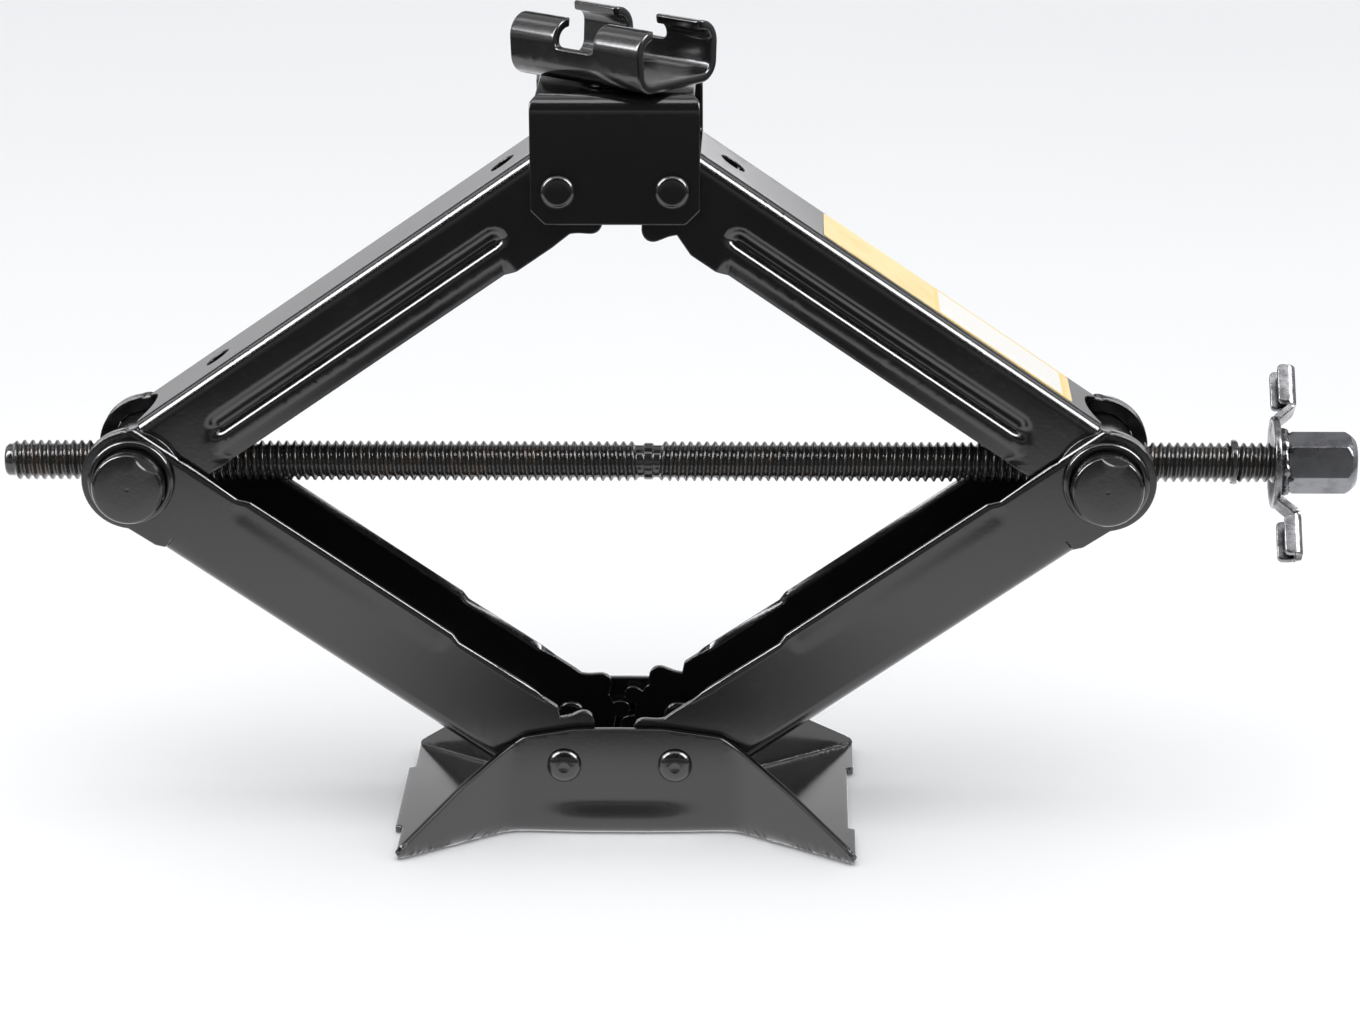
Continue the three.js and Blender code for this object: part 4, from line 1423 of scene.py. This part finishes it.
@dataclass
class KnuckleWasher:
    """Thick washer between a lower arm's wall and the trunnion's end."""

    shop: Workshop
    bore: float = 11.3 * MM
    radius: float = 13.5 * MM

    def build(self, node: str, body: str) -> bpy.types.Object:
        """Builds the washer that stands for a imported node.

        Args:
            node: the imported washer.
            body: body that carries it.

        Returns:
            The washer.
        """
        low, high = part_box(node)
        thick = high.y - low.y
        r, b = self.radius, self.bore
        profile = [(b, 0), (r - 0.3 * MM, 0), (r, 0.35 * MM), (r, thick - 1.0 * MM),
                   (r - 0.25 * MM, thick - 0.45 * MM), (r - 0.75 * MM, thick - 0.12 * MM),
                   (r - 1.2 * MM, thick), (b + 0.35 * MM, thick), (b, thick - 0.3 * MM)]
        piece = turned(node.replace("washer", "thrust_washer"), profile, 72, ring=True)
        front = low.y < 0
        face = high.y if front else low.y
        turn = ALONG_FRONT if front else ALONG_BACK
        moved(piece, Matrix.Translation(((low.x + high.x) / 2, face, (low.z + high.z) / 2)) @ turn)
        return self.shop.fit(piece, body, Slot.PAINT, BlackPaint(), node)


@dataclass
class Trunnion:
    """Cross pin at a knuckle, bored for the screw, turned and staked at its ends."""

    shop: Workshop
    radius: float = 11.2 * MM
    half: float = 33.4 * MM
    bore: float = 6.65 * MM

    def build(self, node: str, body: str, stake_angle: float) -> bpy.types.Object:
        """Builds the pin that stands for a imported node.

        Args:
            node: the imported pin.
            body: body that carries it.
            stake_angle: where the front end's stake mark sits, from +X towards +Z.

        Returns:
            The pin.
        """
        low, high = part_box(node)
        centre = Vector(((low.x + high.x) / 2, 0, (low.z + high.z) / 2))
        r, h = self.radius, self.half
        end = [(0, 0.04), (0.5, 0.02), (0.8, 0.0), (5.0, 0.0), (5.15, 0.008), (5.3, 0.0), (10.0, 0.0),
               (10.5, 0.12), (10.9, 0.4), (11.2, 0.9)]
        start = [(a * MM, -h + b * MM) for a, b in end]
        profile = start + [(r, y) for y in (-h + 6 * MM, h - 6 * MM)] + [(a, -b) for a, b in reversed(start)]
        piece = turned(node.replace("trunnion", "cross_pin"), profile, 72)
        moved(piece, Matrix.Translation(centre) @ ALONG_BACK)
        reach = 20 * MM
        tool = turned("bore_tool", [(0, -reach), (self.bore, -reach), (self.bore, reach), (0, reach)], 48)
        moved(tool, Matrix.Translation(centre) @ ALONG_X)
        marks = [self._stake(centre, face, stake_angle) for face in (-1, 1)]
        carved(piece, [tool, *marks])
        return self.shop.fit(piece, body, Slot.PAINT, BlackPaint(), node)

    def _stake(self, centre: Vector, face: int, angle: float) -> bpy.types.Object:
        """A small tool that leaves a crescent stake mark near the rim."""
        profile = [(0, -0.75 * MM), (7.4 * MM, -0.75 * MM), (8.6 * MM, 1.4 * MM), (0, 1.4 * MM)]
        tool = turned("stake_tool", profile, 64)
        at = centre + Vector((math.cos(angle), 0, math.sin(angle))) * (self.radius + 5.0 * MM)
        at.y = face * self.half
        turn = ALONG_FRONT if face < 0 else ALONG_BACK
        return moved(tool, Matrix.Translation(at) @ turn)


# ------------------------------------------------------------------ screw
@dataclass
class LeadScrew:
    """Screw with a right-hand thread on the left, a left-hand one on the right, and a plain neck."""

    shop: Workshop
    major: float = 6.33 * MM
    root: float = 5.1 * MM
    pitch: float = 2.6 * MM
    columns: int = 40
    left: tuple[float, float] = (-193.2 * MM, 7.05 * MM)
    right: tuple[float, float] = (11.0 * MM, 209.0 * MM)

    # Thread section: share of the pitch, share of the depth.
    SECTION = ((0.0, 0.0), (0.16, 0.12), (0.38, 0.9), (0.5, 1.0), (0.62, 0.9), (0.84, 0.12))
    # Plain parts between the threads and before the drive plate: place along X and radius, in millimetres.
    NECK = ((7.65, 5.6), (7.85, 5.78), (10.15, 5.78), (10.35, 5.6))
    SHOULDER = ((209.3, 5.6), (209.8, 5.8), (210.3, 5.8), (210.6, 5.4))

    def thread(self, bm: bmesh.types.BMesh, span: tuple[float, float], hand: int,
               ) -> tuple[list[bmesh.types.BMVert], list[bmesh.types.BMVert]]:
        """Adds one thread and returns the plain rings at its two ends.

        Args:
            bm: mesh to add to.
            span: where the thread starts and ends.
            hand: 1 for a right-hand thread, -1 for a left-hand one.

        Returns:
            The ring at each end, to join the rest of the screw.
        """
        start, end = span
        per = len(self.SECTION)
        turns = int((end - start) / self.pitch) - 1
        rows = turns * per
        count = self.columns
        grid: list[list[bmesh.types.BMVert]] = []
        for i in range(rows + 1):
            share, depth = self.SECTION[i % per]
            row = []
            for j in range(count):
                x = start + (i // per + share + j / count) * self.pitch
                fade = min(1.0, (x - start) / self.pitch, (end - x) / self.pitch)
                radius = self.root + (self.major - self.root) * depth * max(fade, 0.0)
                angle = hand * TAU * j / count
                row.append(bm.verts.new((x, radius * math.cos(angle), radius * math.sin(angle))))
            grid.append(row)
        for i in range(rows):
            for j in range(count - 1):
                bm.faces.new((grid[i][j], grid[i][j + 1], grid[i + 1][j + 1], grid[i + 1][j]))
            if i + per + 1 <= rows:
                bm.faces.new((grid[i][count - 1], grid[i + per][0],
                              grid[i + per + 1][0], grid[i + 1][count - 1]))
        first = self.ring(bm, start - 0.3 * MM, self.root, hand)
        last = self.ring(bm, start + (turns + 1) * self.pitch + 0.3 * MM, self.root, hand)
        for j in range(count - 1):
            bm.faces.new((first[j], first[j + 1], grid[0][j + 1], grid[0][j]))
            bm.faces.new((last[j], last[j + 1], grid[rows][j + 1], grid[rows][j]))
        bm.faces.new((first[count - 1], first[0], *(grid[i][0] for i in range(per + 1)), grid[0][count - 1]))
        tail = [grid[i][count - 1] for i in range(rows - per, rows + 1)]
        bm.faces.new((last[0], last[count - 1], *reversed(tail), grid[rows][0]))
        return first, last

    def ring(self, bm: bmesh.types.BMesh, x: float, radius: float, hand: int) -> list[bmesh.types.BMVert]:
        """Adds a plain ring of vertices."""
        angles = [hand * TAU * j / self.columns for j in range(self.columns)]
        return [bm.verts.new((x, radius * math.cos(a), radius * math.sin(a))) for a in angles]

    def build(self) -> bpy.types.Object:
        """Builds the screw in its place."""
        low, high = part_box("screw_rod")
        axis_z = (low.z + high.z) / 2
        bm = bmesh.new()
        start, left_end = self.thread(bm, self.left, 1)
        right_start, right_end = self.thread(bm, self.right, -1)
        right_flipped = [right_start[-j % self.columns] for j in range(self.columns)]
        tip = [self.ring(bm, low.x + x * MM, r * MM, 1) for x, r in ((0.25, 4.5), (0, 4.1))]
        bm.faces.new(tip[1])
        skin(bm, [tip[1], tip[0], start])
        neck = [self.ring(bm, x * MM, r * MM, 1) for x, r in self.NECK]
        skin(bm, [left_end, *neck, right_flipped])
        shoulder = [self.ring(bm, x * MM, r * MM, -1) for x, r in self.SHOULDER]
        skin(bm, [right_end, *shoulder])
        bm.faces.new(shoulder[-1])
        piece = finish_mesh("lead_screw", bm, sharp=1.2)
        moved(piece, Matrix.Translation((0, 0, axis_z)))
        return self.shop.fit(piece, "screw", Slot.SCREW, ScrewSteel(), "screw_rod")

    def build_collar(self) -> bpy.types.Object:
        """Builds the stop collar that bears on the right trunnion."""
        low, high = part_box("stop_collar")
        bore, rim, half = 6.5 * MM, (high.z - low.z) / 2, (high.x - low.x) / 2
        outer = [(rim, half * 0.35), (rim - 0.25 * MM, half * 0.75), (rim - 0.8 * MM, half), (bore, half)]
        profile = [(r, -x) for r, x in reversed(outer)] + outer
        piece = turned("stop_ring", profile, 48, ring=True)
        for vert in piece.data.vertices:
            reach = math.hypot(vert.co.x, vert.co.y)
            turn = math.atan2(vert.co.y, vert.co.x)
            lump = 0.35 * math.sin(3 * turn + 0.6) + 0.25 * math.sin(5 * turn + 2.1)
            lump += 0.4 * math.cos(turn - 2.2)
            wanted = bore + max(reach - bore, 0.0) * (0.3 + 0.36 * lump)
            vert.co.z *= 0.62 + 0.22 * math.sin(2 * turn + 1)
            vert.co.x *= wanted / reach
            vert.co.y *= wanted / reach
        centre = ((low.x + high.x) / 2, 0, (low.z + high.z) / 2)
        moved(piece, Matrix.Translation(centre) @ ALONG_X)
        return self.shop.fit(piece, "stop_collar", Slot.SCREW, ScrewSteel(), "stop_collar")


# ------------------------------------------------------------------ drive end
@dataclass
class DriveEnd:
    """Dished plate with two hooked ears, welded behind the drive hex."""

    frame: Frame
    shop: Workshop
    plate_x: float = 206 * MM
    thick: float = 2.2 * MM
    lug_turn: float = math.radians(-41)
    hex_turn: float = math.radians(-16.5)
    flats: float = 17 * MM
    hex_start: float = 210 * MM
    hex_end: float = 231.6 * MM

    def axis(self, turn: float) -> Matrix:
        """Carries a piece made about the X axis to the screw's axis, turned about it."""
        return Matrix.Translation((0, 0, self.frame.knuckle_z)) @ Matrix.Rotation(turn, 4, "X")

    def disc(self) -> bpy.types.Object:
        """The dished disc."""
        x = self.plate_x
        front = [(6.6, 0.5), (8.4, 0.15), (11.5, -0.55), (13.6, -1.0), (14.25, -0.98), (14.55, -0.65),
                 (14.6, 0)]
        points = [(r * MM, x + d * MM) for r, d in front]
        bore = points[0][0]
        rise, boss = 3.1 * MM, 7 * MM
        back = [(r, 2 * x - d + 0.1 * MM + rise * max(0.0, 1 - (r - bore) / boss))
                for r, d in reversed(points[:-1])]
        piece = turned("disc", points + back, 72, ring=True)
        return moved(piece, ALONG_X)

    def ear(self, side: int) -> bpy.types.Object:
        """One hooked ear: a stem leaning back and a channel with two flanges.

        Args:
            side: 1 for the ear on +Z before the turn, -1 for the other.

        Returns:
            The ear, about the X axis.
        """
        sheet = self.thick
        inner, outer = 19.6 * MM, 32.6 * MM
        back_x = self.plate_x + 7.5 * MM - sheet / 2
        half = 4 * MM - sheet / 2
        bend = 1.3 * MM
        flat = half - bend
        bent = flat + bend * math.pi / 2

        def fold(r: float, w: float) -> Vector:
            """Middle of the sheet at a point of the ear's blank."""
            lean = smooth(r, 12.2 * MM, 20 * MM)
            x = self.plate_x + 0.2 * MM + (back_x - self.plate_x - 0.2 * MM) * lean
            away = abs(w)
            sign = 1.0 if w >= 0 else -1.0
            if away <= flat or r < inner - 0.6 * MM:
                return Vector((x, w, side * r))
            turn = min((away - flat) / bend, math.pi / 2)
            y = flat + bend * math.sin(turn)
            deep = bend * (1 - math.cos(turn)) + max(0.0, away - bent)
            return Vector((x - deep, sign * y, side * r))

        front = bent + 3.3 * MM
        rear = bent + 5.2 * MM
        stem = 4 * MM
        outline = rounded([
            (11.6 * MM, -stem), (inner - 1.4 * MM, -stem, 0.5 * MM), (inner - 0.3 * MM, -bent, 0.4 * MM),
            (inner, -front, 1.6 * MM), (outer, -front, 1.8 * MM), (outer, -bent, 0.3 * MM),
            (outer - 0.4 * MM, 0.0), (outer, bent, 0.3 * MM),
            (outer, rear, 1.8 * MM), (inner, rear, 1.6 * MM),
            (inner - 0.3 * MM, bent, 0.4 * MM), (inner - 1.4 * MM, stem, 0.5 * MM), (11.6 * MM, stem),
        ])
        turns = [flat + bend * math.pi / 2 * i / 6 for i in range(7)]
        cuts = (spread(11 * MM, 21 * MM, 0.9 * MM), [sign * value for sign in (1, -1) for value in turns])
        return FoldedSheet(sheet, 0.4 * MM, fold).build("ear", [resampled(outline, 1.6 * MM)], cuts)

    def build_plate(self) -> bpy.types.Object:
        """Builds the plate and its ears in their place."""
        piece = joined("hooked_plate", [self.disc(), self.ear(1), self.ear(-1), self.weld()])
        moved(piece, self.axis(self.lug_turn))
        return self.shop.fit(piece, "screw", Slot.STEEL, DarkZinc(), "lug_plate")

    def weld(self) -> bpy.types.Object:
        """A lumpy bead of weld where the plate meets the hex."""
        bm = bmesh.new()
        around, across = 90, 8
        rows = []
        for i in range(around):
            angle = TAU * i / around
            lump = 0.5 * math.sin(7 * angle) + 0.35 * math.sin(13 * angle + 1.3) + 0.2 * math.sin(29 * angle)
            row = []
            for j in range(across):
                turn = TAU * j / across
                reach = (9.3 + (1.15 + lump * 0.6) * math.cos(turn)) * MM
                x = self.plate_x + (2.6 + (1.3 + lump * 0.7) * math.sin(turn)) * MM
                row.append(bm.verts.new((x, reach * math.cos(angle), reach * math.sin(angle))))
            rows.append(row)
        for i in range(around):
            for j in range(across):
                k, m = (i + 1) % around, (j + 1) % across
                bm.faces.new((rows[i][j], rows[k][j], rows[k][m], rows[i][m]))
        return finish_mesh("weld", bm)

    def build_hex(self) -> bpy.types.Object:
        """Builds the drive hex in its place: six flats, softened corners, domed end."""
        bm = bmesh.new()
        per = 12
        flat = self.flats / 2
        corner_round = 0.45 * MM

        def section(limit: float) -> list[Point]:
            """Hexagon with softened corners, held inside a circle of the given radius."""
            corner = flat / math.cos(math.pi / 6)
            turns = [TAU * i / 6 + TAU / 12 for i in range(6)]
            points = [(corner * math.cos(turn), corner * math.sin(turn), corner_round) for turn in turns]
            ring = rounded(points, 3)
            dense: list[Point] = []
            for i, (y0, z0) in enumerate(ring):
                y1, z1 = ring[(i + 1) % len(ring)]
                steps = per if math.hypot(y1 - y0, z1 - z0) > 2 * MM else 1
                dense.extend((y0 + (y1 - y0) * k / steps, z0 + (z1 - z0) * k / steps) for k in range(steps))
            held = []
            for y, z in dense:
                scale = min(1.0, limit / math.hypot(y, z))
                held.append((y * scale, z * scale))
            return held

        end = self.hex_end
        layers = [(self.hex_start, 8.8), (self.hex_start + 0.8 * MM, 9.45), (self.hex_start + 1.6 * MM, 9.9),
                  (end - 4.2 * MM, 9.9), (end - 3.6 * MM, 9.75), (end - 3.0 * MM, 9.45),
                  (end - 2.4 * MM, 9.05), (end - 1.8 * MM, 8.6), (end - 1.2 * MM, 8.05),
                  (end - 0.7 * MM, 7.5), (end - 0.3 * MM, 6.9), (end - 0.1 * MM, 6.3), (end, 5.6)]
        rings = [[bm.verts.new((x, y, z)) for y, z in section(limit * MM)] for x, limit in layers]
        skin(bm, rings)
        bm.faces.new(rings[0])
        bm.faces.new(rings[-1])
        piece = finish_mesh("drive_nut", bm, sharp=0.5)
        moved(piece, self.axis(self.hex_turn))
        return self.shop.fit(piece, "screw", Slot.NICKEL, DarkNickel(), "drive_hex")


# ------------------------------------------------------------------ studio
@dataclass
class Studio:
    """Pale floor, soft light and the camera."""

    elevation: float = math.radians(17.093)
    yaw: float = math.radians(1.483)
    roll: float = math.radians(-0.275)
    distance: float = 1.45545
    target: tuple[float, float, float] = (0.0188, 0.0, 0.09778)
    lens: float = 121.6
    air: tuple[float, float, float, float] = (0.97, 0.98, 1.0, 1)
    air_seen: float = 0.98
    air_mirrored: float = 0.07

    def camera(self) -> None:
        """Makes the camera."""
        yaw, rise = self.yaw, self.elevation
        back = Vector((math.sin(yaw) * math.cos(rise), -math.cos(yaw) * math.cos(rise), math.sin(rise)))
        right = (-back).cross(Vector((0, 0, 1))).normalized()
        up = right.cross(-back)
        across = right * math.cos(self.roll) + up * math.sin(self.roll)
        above = up * math.cos(self.roll) - right * math.sin(self.roll)
        matrix = Matrix((across, above, back)).transposed().to_4x4()
        matrix.translation = Vector(self.target) + back * self.distance
        data = bpy.data.cameras.new("view")
        data.sensor_width = 36
        data.lens = self.lens
        data.clip_start, data.clip_end = 0.05, 40
        camera = bpy.data.objects.new("view", data)
        camera.matrix_world = matrix
        bpy.context.scene.collection.objects.link(camera)
        bpy.context.scene.camera = camera

    def staged(self, name: str, bm: bmesh.types.BMesh, material: bpy.types.Material,
               height: float = 0.0) -> bpy.types.Object:
        """Makes a stage piece.

        Args:
            name: name of the piece.
            bm: its mesh, which is freed.
            material: its material.
            height: how high it is set.

        Returns:
            The piece.
        """
        mesh = bpy.data.meshes.new(name)
        bm.to_mesh(mesh)
        bm.free()
        piece = bpy.data.objects.new(name, mesh)
        piece.location.z = height
        mesh.materials.append(material)
        bpy.context.scene.collection.objects.link(piece)
        return piece

    def disc(self, name: str, radius: float, height: float, material: bpy.types.Material) -> bpy.types.Object:
        """A flat stage disc."""
        bm = bmesh.new()
        bmesh.ops.create_circle(bm, cap_ends=True, segments=96, radius=radius)
        return self.staged(name, bm, material, height)

    def floor(self) -> None:
        """Lays the pale floor, which the glossy paint doesn't mirror."""
        shader = Shader("floor_card")
        tone = shader.noise(3, 2, 0.5)
        colour = shader.mix(tone, (0.86, 0.86, 0.865, 1), (0.89, 0.89, 0.89, 1))
        material = shader.principled({"Base Color": colour, "Roughness": 0.85, "Specular IOR Level": 0.1})
        self.disc("floor", 6.0, -0.0002, material).visible_glossy = False

    def mirrored(self, piece: bpy.types.Object) -> None:
        """Leaves a stage piece to reflections only."""
        piece.visible_camera = False
        piece.visible_diffuse = False
        piece.visible_shadow = False
        piece.visible_transmission = False
        piece.visible_volume_scatter = False

    def glow(self, name: str, level: Callable[[Shader, Value, Value, Value], Value]) -> bpy.types.Material:
        """A glowing card for reflections, with its brightness worked out over its surface.

        Args:
            name: name of the material.
            level: works out the brightness from the shader and the place's X, Y and Z.

        Returns:
            The material.
        """
        shader = Shader(name)
        axes = [shader.node("ShaderNodeSeparateXYZ", {}, {"Vector": shader.position()}, axis)
                for axis in "XYZ"]
        bright = level(shader, *axes)
        tint = {"Red": bright, "Green": bright, "Blue": bright * 1.02}
        colour = shader.node("ShaderNodeCombineColor", {}, tint)
        return shader.principled({
            "Base Color": (0, 0, 0, 1), "Specular IOR Level": 0.0, "Roughness": 1.0,
            "Emission Color": colour, "Emission Strength": 1.0,
        })

    def floor_glow(self) -> None:
        """The floor as the paint mirrors it: bright but for a patch before the middle, dark further out."""
        def level(shader: Shader, x: Value, y: Value, z: Value) -> Value:
            """Brightness of the floor's mirror image."""
            away = y.absolute()
            wide = x.absolute()
            shade = (1 - wide.ramp(0.01, 0.12)) * away.ramp(0.09, 0.13) * (1 - away.ramp(0.2, 0.26))
            lit = (1 - away.ramp(0.39, 0.48)) * (1 - wide.ramp(0.5, 0.9))
            return 0.05 + (1 - shade) * lit * 1.6

        self.mirrored(self.disc("floor_mirror", 2.5, -0.0001, self.glow("floor_glow", level)))

    def backdrop_glow(self) -> None:
        """A round backdrop for reflections: bright near the floor, dark above."""
        def level(shader: Shader, x: Value, y: Value, z: Value) -> Value:
            """Brightness of the backdrop."""
            behind = y.ramp(-0.7, 0.5, 0.3, 1.0)
            band = z.ramp(0.3, 0.36) * (1 - z.ramp(0.46, 0.62))
            return 0.08 + ((1 - z.ramp(0.34, 0.5)) * 0.62 + band * 1.3) * behind

        bm = bmesh.new()
        count, radius = 96, 1.3
        rows = [[bm.verts.new((radius * math.cos(TAU * i / count), radius * math.sin(TAU * i / count), z))
                 for i in range(count)] for z in (0.001, 0.3, 0.9)]
        skin(bm, rows)
        self.mirrored(self.staged("backdrop_mirror", bm, self.glow("backdrop_glow", level)))

    def arch_glow(self) -> None:
        """Curved strip lights for reflections, and a dim ceiling: they draw the bright lines along bends."""
        for name, near, far, radius, top, sides in (
            ("front_arch", -0.56, -0.12, 1.25, 4.0, 26.0), ("back_arch", 0.3, 0.52, 1.2, 1.6, 3.0),
            ("ceiling", -0.1, 2.0, 1.5, 0.75, 0.75),
        ):
            def level(shader: Shader, x: Value, y: Value, z: Value,
                      top: float = top, sides: float = sides) -> Value:
                """Brightness along the strip: one level overhead, another at the two sides."""
                return top + x.absolute().ramp(0.5, 0.72) * (sides - top)

            bm = bmesh.new()
            count, start = 48, math.radians(22)
            rows = []
            for i in range(count + 1):
                turn = start + (math.pi - 2 * start) * i / count
                x, z = radius * math.cos(turn), 0.1 + radius * math.sin(turn)
                rows.append([bm.verts.new((x, y, z)) for y in (near, far)])
            skin(bm, rows, closed=False)
            self.mirrored(self.staged(name, bm, self.glow(name + "_glow", level)))

    def lights(self) -> None:
        """Hangs the soft lights and sets the pale surroundings."""
        self.area("overhead", (0.0, -0.25, 1.1), (0, 0, 0.1), 1.0, 4).visible_glossy = False
        for name, x in (("left_fill", -1.5), ("right_fill", 1.5)):
            self.area(name, (x, -0.9, 0.9), (0, 0, 0.1), 0.9, 2).visible_glossy = False
        world = bpy.data.worlds.new("studio_air")
        bpy.context.scene.world = world
        world.use_nodes = True
        air = Nodes(world.node_tree)
        seen, mirrored = (air.node("ShaderNodeBackground", {}, {"Color": self.air, "Strength": strength})
                          for strength in (self.air_seen, self.air_mirrored))
        glossy = air.node("ShaderNodeLightPath", {}, {}, "Is Glossy Ray")
        mixed = air.node("ShaderNodeMixShader", {}, {"Fac": glossy, 1: seen, 2: mirrored})
        air.end("ShaderNodeOutputWorld", mixed)

    def area(self, name: str, place: tuple[float, float, float], aim: tuple[float, float, float],
             size: float, power: float) -> bpy.types.Object:
        """Adds a square area light."""
        data = bpy.data.lights.new(name, "AREA")
        data.size = size
        data.energy = power
        light = bpy.data.objects.new(name, data)
        light.location = place
        light.rotation_euler = (Vector(aim) - Vector(place)).to_track_quat("-Z", "Y").to_euler()
        bpy.context.scene.collection.objects.link(light)
        return light

    def build(self) -> None:
        """Sets up the whole studio."""
        bpy.context.scene.view_settings.view_transform = "Standard"
        self.camera()
        self.floor()
        self.floor_glow()
        self.backdrop_glow()
        self.arch_glow()
        self.lights()


# ------------------------------------------------------------------ assembly
def build_jack() -> None:
    """Builds every piece in order and sets it on its body."""
    place = Frame()
    shop = Workshop()
    BasePlate(place, shop).build()
    lower = Arm(place, shop, 23 * MM, 13.9 * MM, 20.6 * MM, 13.2 * MM, True, hollow=3 * MM)
    upper = Arm(place, shop, 19.6 * MM, 13.7 * MM, 10.8 * MM, 12.4 * MM, False)
    for word, side in SIDES.items():
        lower.build(f"lower_arm_{word}", side, f"lower_arm_{word}")
        upper.build(f"upper_arm_{word}", side, f"upper_arm_{word}")
        for face in FACES:
            PivotRivet(shop, HeadForm.DOMED).build(f"base_rivet_{face}_{word}", "base")
            PivotRivet(shop, HeadForm.FLAT).build(f"top_rivet_{face}_{word}", "top_bracket")
            KnuckleWasher(shop).build(f"knuckle_washer_{face}_{word}", f"trunnion_{word}")
        stake = math.radians(78 if side > 0 else 52)
        Trunnion(shop).build(f"trunnion_{word}", f"trunnion_{word}", stake)
    BlankLabel(place, shop).build()
    TopBracket(place, shop).build()
    saddle = Saddle(shop)
    saddle.build_washer()
    saddle.build()
    saddle.build_rivet()
    screw = LeadScrew(shop)
    screw.build()
    screw.build_collar()
    drive = DriveEnd(place, shop)
    drive.build_plate()
    drive.build_hex()


def main() -> None:
    """Builds the jack and its studio."""
    logging.basicConfig(level=logging.INFO, format="%(message)s")
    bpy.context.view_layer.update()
    Studio().build()
    build_jack()
    bpy.context.view_layer.update()


if __name__ == "__main__":
    main()
